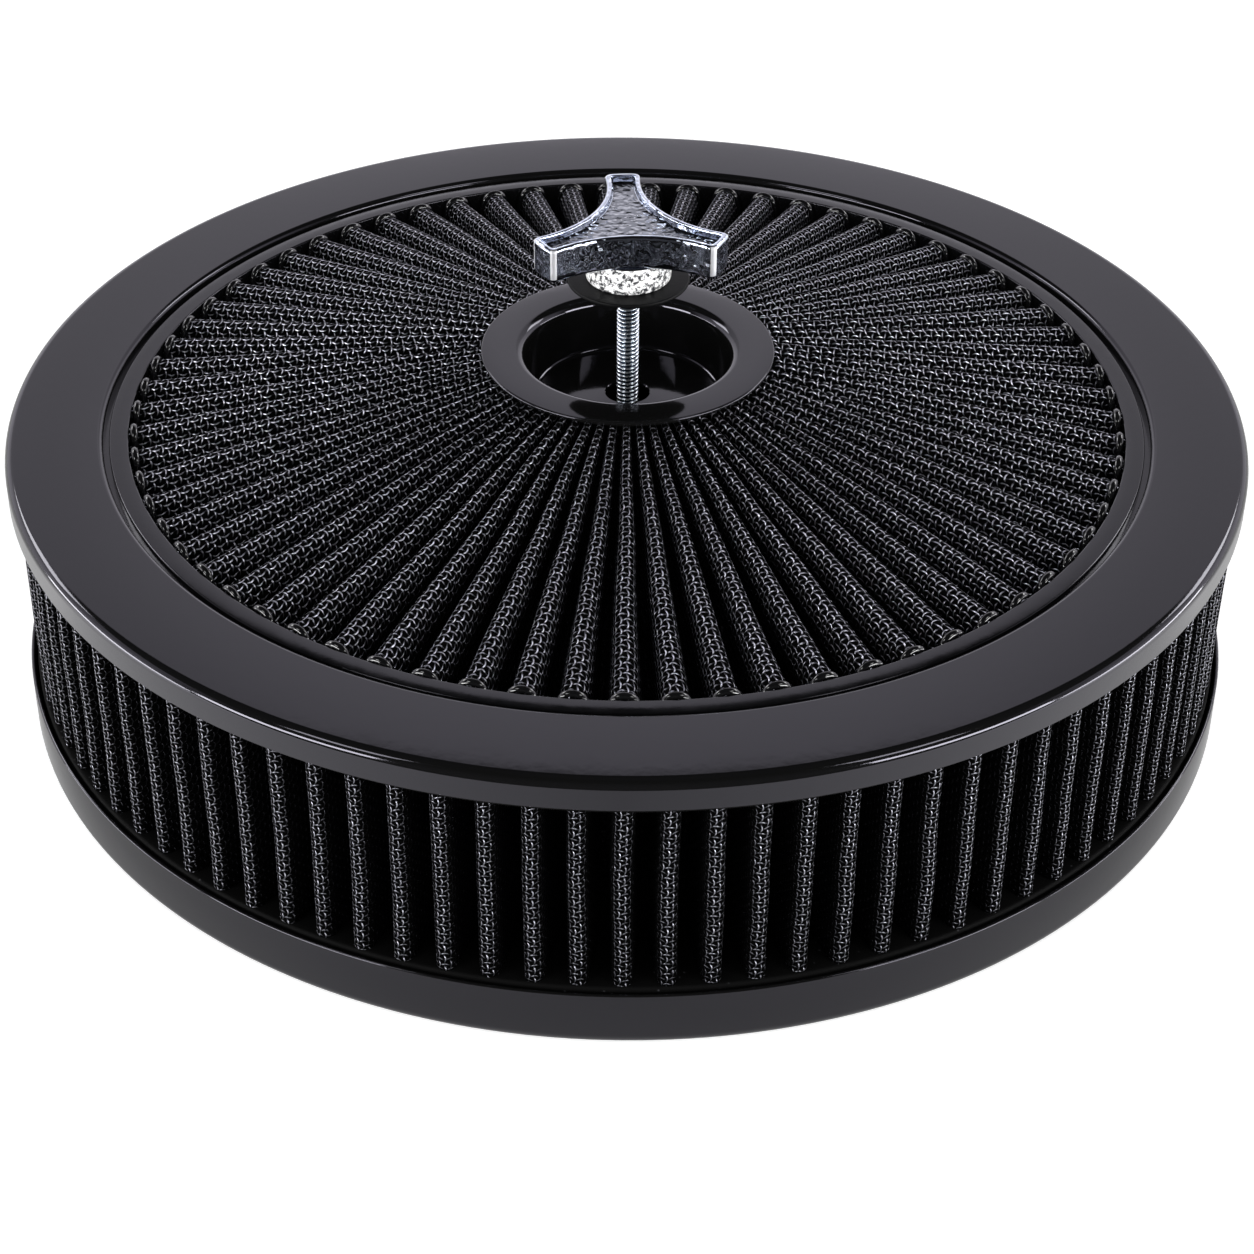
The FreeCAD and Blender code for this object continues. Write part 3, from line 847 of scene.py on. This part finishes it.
# %% Helpers for Geometry Nodes
def tree_with_inputs(name, inputs, result):
    """A new tree with inputs of (name, kind, value at the start), and their identifiers by name."""
    tree = bpy.data.node_groups.new(name, "GeometryNodeTree")
    ids = {}
    for label, kind, start in inputs:
        item = tree.interface.new_socket(label, in_out="INPUT", socket_type=kind)
        if start is not None:
            item.default_value = start
        ids[label] = item.identifier
    tree.interface.new_socket(result, in_out="OUTPUT", socket_type="NodeSocketGeometry")
    return tree, ids


def grown(obj, tree, ids, values):
    """Gives the object a node tree's result as its plain mesh."""
    modifier = obj.modifiers.new(tree.name, "NODES")
    modifier.node_group = tree
    for key, value in values.items():
        modifier[ids[key]] = value
    bpy.context.view_layer.update()
    evaluated = obj.evaluated_get(bpy.context.evaluated_depsgraph_get())
    mesh = bpy.data.meshes.new_from_object(evaluated)
    obj.modifiers.remove(modifier)
    obj.data = mesh


# %% The tree that repeats a pleat: copies round the axis
WELD = 0.00001

ring_tree, ring_ids = tree_with_inputs(
    "pleats_round_the_axis",
    (
        ("Pleat", "NodeSocketGeometry", None),
        ("Pleats", "NodeSocketInt", 96),
        ("Wander", "NodeSocketFloat", 0.0005),
        ("Wander Scale", "NodeSocketFloat", 20.0),
        ("Weave Shift", "NodeSocketFloat", 2.0),
        ("Seed", "NodeSocketInt", 1),
        ("Finish", "NodeSocketMaterial", None),
    ),
    "Filter",
)
given = add(ring_tree, "NodeGroupInput").outputs
line = add(ring_tree, "GeometryNodeMeshLine", [("Count", given["Pleats"]), ("Offset", (0, 0, 0))])
number = add(ring_tree, "GeometryNodeInputIndex").outputs[0]
step = add(
    ring_tree, "ShaderNodeMath", [(0, 2 * pi), (1, given["Pleats"])], operation="DIVIDE"
).outputs[0]
angle = add(ring_tree, "ShaderNodeMath", [(0, number), (1, step)], operation="MULTIPLY").outputs[0]
spin = add(ring_tree, "ShaderNodeCombineXYZ", [("Z", angle)]).outputs[0]
turn = add(ring_tree, "FunctionNodeEulerToRotation", [(0, spin)]).outputs[0]
copies = add(
    ring_tree,
    "GeometryNodeInstanceOnPoints",
    [("Points", line.outputs["Mesh"]), ("Instance", given["Pleat"]), ("Rotation", turn)],
).outputs[0]
chance = add(
    ring_tree,
    "FunctionNodeRandomValue",
    [("Min", 0.0), ("Max", given["Weave Shift"]), ("Seed", given["Seed"])],
    data_type="FLOAT",
)
chance_value = next(o for o in chance.outputs if o.enabled)
shifted = add(
    ring_tree,
    "GeometryNodeStoreNamedAttribute",
    [("Geometry", copies), ("Name", "pleat_shift"), ("Value", chance_value)],
    data_type="FLOAT",
    domain="INSTANCE",
).outputs[0]
real = add(ring_tree, "GeometryNodeRealizeInstances", [("Geometry", shifted)]).outputs[0]
welded = add(
    ring_tree, "GeometryNodeMergeByDistance", [("Geometry", real), ("Distance", WELD)]
).outputs[0]

# %% The tree that repeats a pleat: wander and finish
SWAY = (2.0, 2.0, 0.6)

here = add(ring_tree, "GeometryNodeInputPosition").outputs[0]
noise = add(
    ring_tree,
    "ShaderNodeTexNoise",
    [("Vector", here), ("Scale", given["Wander Scale"]), ("W", given["Seed"]), ("Detail", 1.0)],
    noise_dimensions="4D",
)
centred = add(
    ring_tree, "ShaderNodeVectorMath", [(0, noise.outputs["Color"]), (1, HALF)], operation="SUBTRACT"
).outputs[0]
swayed = add(
    ring_tree, "ShaderNodeVectorMath", [(0, centred), (1, SWAY)], operation="MULTIPLY"
).outputs[0]
offset = add(
    ring_tree, "ShaderNodeVectorMath", [(0, swayed), ("Scale", given["Wander"])], operation="SCALE"
).outputs[0]
wandered = add(
    ring_tree, "GeometryNodeSetPosition", [("Geometry", welded), ("Offset", offset)]
).outputs[0]
coated = add(
    ring_tree, "GeometryNodeSetMaterial", [("Geometry", wandered), ("Material", given["Finish"])]
).outputs[0]
add(ring_tree, "NodeGroupOutput", [(0, coated)])
print("tree inputs", sorted(ring_ids))

# %% [markdown]
# ## Side filter
# Ninety-six upright pleats between the two end rings, with wide rounded crests towards the outside.
# The depth that the screen's painted fold shade reads grows fast here, so that all but the crests are
# painted dark.

# %% Side filter
SIDE_PLEATS = 96
SIDE_CREST_RADIUS = 175.5
SIDE_VALLEY_RADIUS = 154.5
SIDE_STEPS = 14
WIRE_SPACING = 1.59
DEPTH_AT_CREST = 0.375
DEPTH_GROWTH = 3.3

side_depth = SIDE_CREST_RADIUS - SIDE_VALLEY_RADIUS
bottom = SEAT_HEIGHT + END_RING_THICKNESS
top = ELEMENT_TOP - END_RING_THICKNESS
pitch = 2 * pi * SIDE_CREST_RADIUS / SIDE_PLEATS
front, back = pleat_profile(crest=2.6, valley=0.9, depth=side_depth, pitch=pitch)


def upright(along, height, across, share):
    """A point of the side sheet, which stands upright."""
    z = bottom + (top - bottom) * share
    a = -pi / 2 + along / SIDE_CREST_RADIUS
    r = SIDE_VALLEY_RADIUS + height
    # This depth drives the screen's painted fold shade.
    depth = DEPTH_AT_CREST + DEPTH_GROWTH * (SIDE_CREST_RADIUS - r) / side_depth
    return (r * cos(a), r * sin(a), z), across, z, depth


rows_front, rows_back = sheet_rows(front, SIDE_STEPS, upright), sheet_rows(back, SIDE_STEPS, upright)
side_media = strip("side_filter_pleats", rows_front, rows_back, screen, WIRE_SPACING)
grown(
    side_media,
    ring_tree,
    ring_ids,
    {
        "Pleats": SIDE_PLEATS, "Wander": 0.0007, "Wander Scale": 30.0,
        "Weave Shift": 2.0, "Seed": 3, "Finish": screen,
    },
)
dress(side_media, "side_media", "housing")

# %% [markdown]
# ## Top filter
# Sixty-nine pleats fan out from the hub. They rise towards it, and every fold line would meet on
# the axis, so the pleats narrow and flatten towards the middle. Seen from above, the screen's mesh
# looks coarser than at the side, so its wires stand 1.9 mm apart.

# %% Top filter
TOP_PLEATS = 69
TOP_PLEAT_DEPTH = 12.0
TOP_STEPS = 16
TOP_WIRE_SPACING = 1.9
TOP_CREST_DROP = 0.3
CREST_AT_HUB = 102.3

crest_out = LEDGE_TOP - TOP_CREST_DROP
pleat_run = FRAME_INNER_RADIUS - TOP_MEDIA_INNER_RADIUS
apex = crest_out + (CREST_AT_HUB - crest_out) * FRAME_INNER_RADIUS / pleat_run
pitch = 2 * pi * FRAME_INNER_RADIUS / TOP_PLEATS
front, back = pleat_profile(crest=3.5, valley=0.9, depth=TOP_PLEAT_DEPTH, pitch=pitch)


def cone_height(height, share):
    """Height above the bench of a point of the profile, at that share of the frame's radius."""
    return apex - (apex - crest_out + TOP_PLEAT_DEPTH - height) * share


def radial(along, height, across, share):
    """A point of the top sheet, which narrows towards the axis."""
    r = FRAME_INNER_RADIUS + (TOP_MEDIA_INNER_RADIUS - FRAME_INNER_RADIUS) * share
    narrowing = r / FRAME_INNER_RADIUS
    a = -pi / 2 + along / FRAME_INNER_RADIUS
    point = r * cos(a), r * sin(a), cone_height(height, narrowing)
    depth = (TOP_PLEAT_DEPTH - height) / TOP_PLEAT_DEPTH
    return point, across * narrowing, FRAME_INNER_RADIUS - r, depth


rows_front, rows_back = sheet_rows(front, TOP_STEPS, radial), sheet_rows(back, TOP_STEPS, radial)
top_media = strip("top_filter_pleats", rows_front, rows_back, screen, TOP_WIRE_SPACING)
top_ring_values = {"Pleats": TOP_PLEATS, "Wander": 0.0005, "Wander Scale": 30.0, "Seed": 8}
grown(top_media, ring_tree, ring_ids, {**top_ring_values, "Weave Shift": 2.0, "Finish": screen})
dress(top_media, "top_media", "housing")

# %% [markdown]
# ## The bead at the outer end of the top pleats
# The urethane of the frame was poured against the pleats and stands up round the end of each one in
# a smooth glossy bead, which draws a white arc. One pleat's bead is a round bar along the fold, and
# the same tree repeats it with the same seed, so that it wanders as its pleat does.

# %% Bead on the frame
BEAD_RADIUS = 1.2
BEAD_PLACE = 141.7
BEAD_SIDES = 8

points, faces = [], []
for k, (along, height) in enumerate(front):
    before, after = front[max(k - 1, 0)], front[min(k + 1, len(front) - 1)]
    run, rise = after[0] - before[0], after[1] - before[1]
    side_step, up_step = -rise / hypot(run, rise), run / hypot(run, rise)
    a = -pi / 2 + along / FRAME_INNER_RADIUS
    z = cone_height(height, BEAD_PLACE / FRAME_INNER_RADIUS)
    for i in range(BEAD_SIDES):
        b = 2 * pi * i / BEAD_SIDES
        off, r = BEAD_RADIUS * sin(b), BEAD_PLACE + BEAD_RADIUS * cos(b)
        x = r * cos(a) - off * side_step * sin(a)
        y = r * sin(a) + off * side_step * cos(a)
        points.append((x, y, z + off * up_step))
for k in range(len(front) - 1):
    here, there = k * BEAD_SIDES, (k + 1) * BEAD_SIDES
    for i in range(BEAD_SIDES):
        j = (i + 1) % BEAD_SIDES
        faces.append((here + i, here + j, there + j, there + i))
bead = mesh_object("bead_round_the_pleats", points, faces, wet, 180)
grown(bead, ring_tree, ring_ids, {**top_ring_values, "Weave Shift": 0.0, "Finish": wet})
joined(outer_frame, bead)
dress(outer_frame, "top_outer_frame", "housing")

# %% [markdown]
# ## Threaded stud
# The stud is 1/4-20: one turn of thread is 1.27 mm. One turn is drawn as a helical strip and a
# second tree stacks it along the axis. The thread starts above the plain lower end.

# %% One turn of thread
THREAD_PITCH = 1.27
THREAD_DEPTH = 0.72
THREAD_START = 1.2
TURN_STEPS = 32

root, shoulder = STUD_RADIUS - THREAD_DEPTH, STUD_RADIUS - 0.06
thread_profile = [
    (root, 0.0), (root, 0.12), (shoulder, 0.57), (STUD_RADIUS, 0.64),
    (STUD_RADIUS, 0.75), (shoulder, 0.82), (root, THREAD_PITCH),
]
points = []
for i in range(TURN_STEPS + 1):
    a = 2 * pi * i / TURN_STEPS
    for r, z in thread_profile:
        points.append((r * cos(a), r * sin(a), THREAD_START + z + THREAD_PITCH * i / TURN_STEPS))
n = len(thread_profile)
faces = []
for i in range(TURN_STEPS):
    for k in range(n - 1):
        faces.append((i * n + k, (i + 1) * n + k, (i + 1) * n + k + 1, i * n + k + 1))
stud = mesh_object("threaded_stud", points, faces, zinc, 50)

# %% The tree that stacks turns
STUD_TIP = 1.3

stack_tree, stack_ids = tree_with_inputs(
    "turns_along_the_axis",
    (
        ("Turn", "NodeSocketGeometry", None),
        ("Turns", "NodeSocketInt", 100),
        ("Thread Pitch", "NodeSocketFloat", 0.00127),
        ("Finish", "NodeSocketMaterial", None),
    ),
    "Thread",
)
given = add(stack_tree, "NodeGroupInput").outputs
rise = add(stack_tree, "ShaderNodeCombineXYZ", [("Z", given["Thread Pitch"])]).outputs[0]
line = add(stack_tree, "GeometryNodeMeshLine", [("Count", given["Turns"]), ("Offset", rise)]).outputs[0]
copies = add(
    stack_tree, "GeometryNodeInstanceOnPoints", [("Points", line), ("Instance", given["Turn"])]
).outputs[0]
real = add(stack_tree, "GeometryNodeRealizeInstances", [("Geometry", copies)]).outputs[0]
welded = add(
    stack_tree, "GeometryNodeMergeByDistance", [("Geometry", real), ("Distance", WELD)]
).outputs[0]
plated = add(
    stack_tree, "GeometryNodeSetMaterial", [("Geometry", welded), ("Material", given["Finish"])]
).outputs[0]
add(stack_tree, "NodeGroupOutput", [(0, plated)])
turns = int((STUD_TOP - THREAD_START - STUD_TIP) / THREAD_PITCH) - 1
grown(stud, stack_tree, stack_ids, {"Turns": turns, "Thread Pitch": THREAD_PITCH * MM, "Finish": zinc})
print("turns of thread", turns)

# %% [markdown]
# The two ends of the stud are plain, chamfered and a hair wider than the thread's root. Their
# sections stop a tenth of a micrometre short of the axis, so the same helper can turn them.

# %% The stud's plain ends
ON_AXIS = 0.0001
CHAMFER_RADIUS = 2.0

core = root + 0.05
section = [(ON_AXIS, 0.0), (CHAMFER_RADIUS, 0.0), (core, 0.5), (core, 2.6), (ON_AXIS, 2.6)]
lower_end = turned("stud_lower_end", section, zinc, 32)
end_start = THREAD_START + turns * THREAD_PITCH - 1
section = [(ON_AXIS, end_start), (core, end_start), (core, STUD_TOP - 0.4)]
section += [(CHAMFER_RADIUS, STUD_TOP), (ON_AXIS, STUD_TOP)]
upper_end = turned("stud_upper_end", section, zinc, 32)
joined(stud, lower_end, upper_end)
dress(stud, "stud", "clamp_screw")

# %% [markdown]
# ## Rubber washer
# The washer under the knob is a thin disc with rounded edges.

# %% Rubber washer
WASHER_RADIUS = 17.3
WASHER_ROUND = 0.5

bore = STUD_RADIUS + 0.3
round_r = WASHER_RADIUS - WASHER_ROUND
section = (
    [(bore, WASHER_BOTTOM + EDGE), (bore + EDGE, WASHER_BOTTOM)]
    + arc(round_r, WASHER_BOTTOM + WASHER_ROUND, WASHER_ROUND, 270, 360, 6)
    + arc(round_r, WASHER_TOP - WASHER_ROUND, WASHER_ROUND, 0, 90, 5)
    + [(bore + EDGE, WASHER_TOP), (bore, WASHER_TOP - EDGE)]
)
washer = turned("seal_washer_disc", section, rubber, 128)
dress(washer, "seal_washer", "washer")

# %% [markdown]
# ## Knob
# The knob is a three-armed casting. Its outline joins three tip arcs with three hollow sides, and
# small arcs round the corners. Loops of that outline, inset and raised step by step, make the
# sides, the rolled rim and the sunk face.

# %% The knob's outline
KNOB_ARM_REACH = 28.9
KNOB_TIP_WIDTH = 10.4
KNOB_WAIST_RADIUS = 11.0
KNOB_TIP_CORNER = 1.5
KNOB_TURN = 94.0
TIP_STEPS = 3
CORNER_STEPS = 5
HOLLOW_STEPS = 8


def knob_outline(inset, corner):
    """Points of the outline, drawn smaller by the inset, with arms at every 120 degrees."""
    reach = KNOB_ARM_REACH - inset
    half_angle = asin((KNOB_TIP_WIDTH / 2 - inset) / reach)
    waist = KNOB_WAIST_RADIUS - inset
    spread = pi / 3 - half_angle
    side_centre = (reach**2 - waist**2) / (2 * (reach * cos(spread) - waist))
    side_radius = side_centre - waist
    near, far = reach - corner, side_radius + corner
    lean = acos((near**2 + side_centre**2 - far**2) / (2 * near * side_centre))
    corner_angle = pi / 3 - lean
    corner_x, corner_y = near * cos(corner_angle), near * sin(corner_angle)
    centre_x, centre_y = side_centre * cos(pi / 3), side_centre * sin(pi / 3)
    away = atan2(corner_y - centre_y, corner_x - centre_x)
    half = []
    for i in range(TIP_STEPS):
        a = corner_angle * i / TIP_STEPS
        half.append((reach * cos(a), reach * sin(a)))
    start, end = corner_angle, away + pi
    for i in range(CORNER_STEPS + 1):
        a = start + (end - start) * i / CORNER_STEPS
        half.append((corner_x + corner * cos(a), corner_y + corner * sin(a)))
    start = away if away > 0 else away + 2 * pi
    end = pi / 3 + pi
    for i in range(1, HOLLOW_STEPS + 1):
        a = start + (end - start) * i / HOLLOW_STEPS
        half.append((centre_x + side_radius * cos(a), centre_y + side_radius * sin(a)))
    arm = [(x, -y) for x, y in half[:0:-1]][1:] + half
    outline = []
    for i in range(3):
        t = radians(KNOB_TURN + 120 * i)
        outline += [(x * cos(t) - y * sin(t), x * sin(t) + y * cos(t)) for x, y in arm]
    return outline


half_points = TIP_STEPS + CORNER_STEPS + HOLLOW_STEPS + 1
corner_half = [TIP_STEPS < i < TIP_STEPS + CORNER_STEPS for i in range(half_points)]
at_corner = (corner_half[:0:-1][1:] + corner_half) * 3
print("outline points", len(at_corner))

# %% The knob's loops
RIM_ROUND = 0.9
RIM_STEPS = 8
KNOB_RECESS_DEPTH = 2.0

wall = ((1.0, 0.0), (0.55, 0.1), (0.2, 0.4), (0.0, 1.0), (0.0, 3.0), (0.0, 5.0), (0.0, 7.0), (0.0, 9.0))
loops = [(inset, KNOB_TIP_CORNER, KNOB_ARM_BOTTOM + z) for inset, z in wall]
for i in range(1, RIM_STEPS + 1):
    a = radians(90 * i / RIM_STEPS)
    loops.append((RIM_ROUND * (1 - cos(a)), KNOB_TIP_CORNER, KNOB_TOP - RIM_ROUND + RIM_ROUND * sin(a)))
for inset, corner, drop in (
    (1.2, 1.3, 0.0), (1.4, 1.15, 0.03), (1.55, 1.0, 0.15), (1.62, 0.9, 0.5),
    (1.68, 0.85, 1.6), (1.75, 0.8, 1.88), (1.95, 0.75, KNOB_RECESS_DEPTH),
):
    loops.append((inset, corner, KNOB_TOP - drop))
points = []
for inset, corner, z in loops:
    points += [(x, y, z) for x, y in knob_outline(inset, corner)]
print("loops", len(loops))

# %% [markdown]
# Rings of faces join the loops. The floor of the sunk face closes to a point in the middle, and the
# underside to a small ring inside the boss. The faces at the arms' corners get the satin finish.

# %% The knob's skin
SATIN_LOOPS = range(3, 12)

n = len(at_corner)
faces, corner_faces = [], []
for i in range(len(loops) - 1):
    for k in range(n):
        m = (k + 1) % n
        if at_corner[k] and i in SATIN_LOOPS:
            corner_faces.append(len(faces))
        faces.append((i * n + k, i * n + m, (i + 1) * n + m, (i + 1) * n + k))
rim_faces = len(faces)
inset, corner, floor_height = loops[-1]
start = (len(loops) - 1) * n
for share in (0.8, 0.55, 0.3):
    points += [(x * share, y * share, floor_height) for x, y in knob_outline(inset, corner)]
    fresh = len(points) - n
    for k in range(n):
        m = (k + 1) % n
        faces.append((start + k, start + m, fresh + m, fresh + k))
    start = fresh
points.append((0, 0, floor_height))
faces += [(start + k, start + (k + 1) % n, len(points) - 1) for k in range(n)]
floor_end = len(faces)
inset, corner, _ = loops[0]
points += [(x * 0.3, y * 0.3, KNOB_ARM_BOTTOM) for x, y in knob_outline(inset, corner)]
fresh = len(points) - n
faces += [(fresh + k, fresh + (k + 1) % n, (k + 1) % n, k) for k in range(n)]
knob = mesh_object("three_armed_knob", points, faces, chrome, 40)
knob.data.materials.append(pebbled)
knob.data.materials.append(satin_corner)
for polygon in knob.data.polygons[rim_faces:floor_end]:
    polygon.material_index = 1
for index in corner_faces:
    knob.data.polygons[index].material_index = 2

# %% [markdown]
# The boss is a turned neck between the washer and the arms, with a rounded foot and shoulder.

# %% The knob's boss
BOSS_RADIUS = 12.3
PAINTED_REFLECTION_FROM = 10.5
thread_bore = STUD_RADIUS + 0.05

section = (
    [(thread_bore, WASHER_TOP + 0.3), (STUD_RADIUS + 0.35, WASHER_TOP), (BOSS_RADIUS - 1.2, WASHER_TOP)]
    + arc(BOSS_RADIUS - 1.1, WASHER_TOP + 0.9, 0.9, 270, 340, 5)
    + [(BOSS_RADIUS, WASHER_TOP + 3.6), (BOSS_RADIUS, KNOB_ARM_BOTTOM - 0.9)]
    + arc(BOSS_RADIUS - 1.2, KNOB_ARM_BOTTOM - 0.9, 1.2, 0, 90, 6)[1:]
    + [(thread_bore, KNOB_ARM_BOTTOM + 0.3)]
)
boss = turned("knob_boss", section, chrome, 96)
boss.data.materials.append(boss_painted_reflection)
# The band of the boss between the washer and the arms gets the painted speckled reflection.
for polygon in boss.data.polygons:
    between = WASHER_TOP * MM < polygon.center.z < KNOB_ARM_BOTTOM * MM
    if between and hypot(*polygon.center.xy) > PAINTED_REFLECTION_FROM * MM:
        polygon.material_index = 1
joined(knob, boss)
dress(knob, "knob", "clamp_screw")

# %% [markdown]
# ## Table
# The part stands on a white paper sweep. The camera sees it white, and it keeps the part's shadow.
# For gloss rays its front half also gets a painted glow, more and more towards the left and right,
# and a painted shadow beside the part, where that glow is turned down.

# %% Table
TABLE_SIDE, TABLE_FRONT, TABLE_BACK = 1.6, -0.36, 2.2
corners = [(-TABLE_SIDE, TABLE_FRONT, 0), (TABLE_SIDE, TABLE_FRONT, 0)]
corners += [(TABLE_SIDE, TABLE_BACK, 0), (-TABLE_SIDE, TABLE_BACK, 0)]
table_mesh = bpy.data.meshes.new("table")
table_mesh.from_pydata(corners, [], [(0, 1, 2, 3)])
table = bpy.data.objects.new("table", table_mesh)
bpy.context.scene.collection.objects.link(table)
paper, tree, shader = finish_named(
    "white_paper_sweep",
    [
        ("Base Color", linear("#DCDCDC")), ("Roughness", 0.9), ("Specular IOR Level", 0.0),
        ("Emission Color", (1, 1, 1, 1)),
    ],
)
seen = add(tree, "ShaderNodeLightPath").outputs
place = add(tree, "ShaderNodeTexCoord").outputs["Object"]
spot = add(tree, "ShaderNodeSeparateXYZ", [("Vector", place)]).outputs
sideways = add(tree, "ShaderNodeMath", [(0, spot["X"])], operation="ABSOLUTE").outputs[0]
front_half = add(
    tree,
    "ShaderNodeMapRange",
    [("Value", spot["Y"]), ("From Min", -0.02), ("From Max", 0.07), ("To Min", 3.0), ("To Max", 0.0)],
).outputs["Result"]
from_part = add(tree, "ShaderNodeVectorMath", [(0, place)], operation="LENGTH").outputs["Value"]
# Painted shadow: this factor turns the gloss glow down within a quarter metre of the part.
clear = add(
    tree,
    "ShaderNodeMapRange",
    [("Value", from_part), ("From Min", 0.19), ("From Max", 0.25), ("To Min", 0.1), ("To Max", 1.0)],
).outputs["Result"]
# Painted light: the gloss glow grows towards the sides of the front half.
painted_side_glow = sideways
for share in (front_half, clear, seen["Is Glossy Ray"]):
    painted_side_glow = add(tree, "ShaderNodeMath", [(0, painted_side_glow), (1, share)], operation="MULTIPLY").outputs[0]
backdrop_and_painted_glow = add(
    tree,
    "ShaderNodeMath",
    [(0, seen["Is Camera Ray"]), (1, 0.53), (2, painted_side_glow)],
    operation="MULTIPLY_ADD",
).outputs[0]
tree.links.new(backdrop_and_painted_glow, shader.inputs["Emission Strength"])
table_mesh.materials.append(paper)

# %% [markdown]
# ## World
# The camera sees plain white. Gloss sees a white wall that is brightest low down, dimmer at the
# sides, and black overhead and behind the camera, as a white sweep under a dark ceiling is. Matt
# surfaces get a dim light all round, and more from a fill card behind the camera.

# %% World
world = bpy.data.worlds.new("studio")
bpy.context.scene.world = world
world.use_nodes = True
tree = world.node_tree
tree.nodes.clear()
direction = add(tree, "ShaderNodeTexCoord").outputs["Generated"]
axes = add(tree, "ShaderNodeSeparateXYZ", [("Vector", direction)]).outputs
sideways = add(tree, "ShaderNodeMath", [(0, axes["X"])], operation="ABSOLUTE").outputs[0]
height = add(
    tree, "ShaderNodeMath", [(0, sideways), (1, 0.1), (2, axes["Z"])], operation="MULTIPLY_ADD"
).outputs[0]
fades = {}
for name, value, start, end, at_start, at_end in (
    ("overhead", height, 0.645, 0.69, 0.93, 0.03),
    ("sideways", sideways, 0.06, 0.22, 1.0, 0.8),
    ("behind_camera", axes["Y"], -0.35, 0.05, 0.03, 1.0),
    ("low_wall", axes["Z"], 0.33, 0.4, 1.6, 1.0),
    ("fill_card", axes["Y"], -0.45, -0.7, 0.3, 1.8),
):
    fades[name] = add(
        tree,
        "ShaderNodeMapRange",
        [
            ("Value", value), ("From Min", start), ("From Max", end),
            ("To Min", at_start), ("To Max", at_end),
        ],
        interpolation_type="SMOOTHSTEP",
    ).outputs["Result"]
wall = fades["overhead"]
for name in ("sideways", "behind_camera", "low_wall"):
    wall = add(tree, "ShaderNodeMath", [(0, wall), (1, fades[name])], operation="MULTIPLY").outputs[0]
seen = add(tree, "ShaderNodeLightPath").outputs
mirrored = add(
    tree, "ShaderNodeBackground", [("Color", (0.95, 0.925, 1.0, 1)), ("Strength", wall)]
).outputs[0]
plain = add(tree, "ShaderNodeBackground", [("Color", (1, 1, 1, 1)), ("Strength", 1.0)]).outputs[0]
lighting = add(
    tree, "ShaderNodeBackground", [("Color", (1, 1, 1, 1)), ("Strength", fades["fill_card"])]
).outputs[0]
either = add(
    tree, "ShaderNodeMixShader", [(0, seen["Is Glossy Ray"]), (1, lighting), (2, mirrored)]
).outputs[0]
final = add(
    tree, "ShaderNodeMixShader", [(0, seen["Is Camera Ray"]), (1, either), (2, plain)]
).outputs[0]
add(tree, "ShaderNodeOutputWorld", [("Surface", final)])

# %% [markdown]
# ## Lamps
# Four pairs of lamps stand left and right alike. Low softboxes and strips at the sides draw the
# white line on the rolled edge of the lid and the shine on the side pleats. Small lamps in front
# pick out the top pleats on each side, and small ones behind light the far pleats and the knob.


# %% Lamps
AIM = Vector((0, 0, 0.08))


def softbox(name, azimuth, elevation, distance, width, depth, power):
    """A rectangular lamp aimed at the part, its azimuth counted from the camera's side to the right."""
    a, e = radians(azimuth), radians(elevation)
    place = Vector((distance * cos(e) * sin(a), -distance * cos(e) * cos(a), distance * sin(e)))
    lamp = bpy.data.lights.new(name, "AREA")
    lamp.shape = "RECTANGLE"
    lamp.size, lamp.size_y = width, depth
    lamp.energy = power
    obj = bpy.data.objects.new(name, lamp)
    bpy.context.scene.collection.objects.link(obj)
    obj.location = place
    obj.rotation_euler = (AIM - place).to_track_quat("-Z", "Y").to_euler()
    print(name, "radiance", round(power / (pi * width * depth), 2))


for name, azimuth, *rest in (
    ("softbox", 89, 5, 1.5, 0.95, 0.2, 7.4),
    ("strip", 54, 12.5, 1.5, 0.85, 0.32, 13.5),
    ("front_lamp", 52, 46, 1.25, 0.34, 0.2, 1.3),
    ("back_lamp", 125, 34, 1.3, 0.5, 0.22, 2.4),
):
    softbox("left_" + name, -azimuth, *rest)
    softbox("right_" + name, azimuth, *rest)
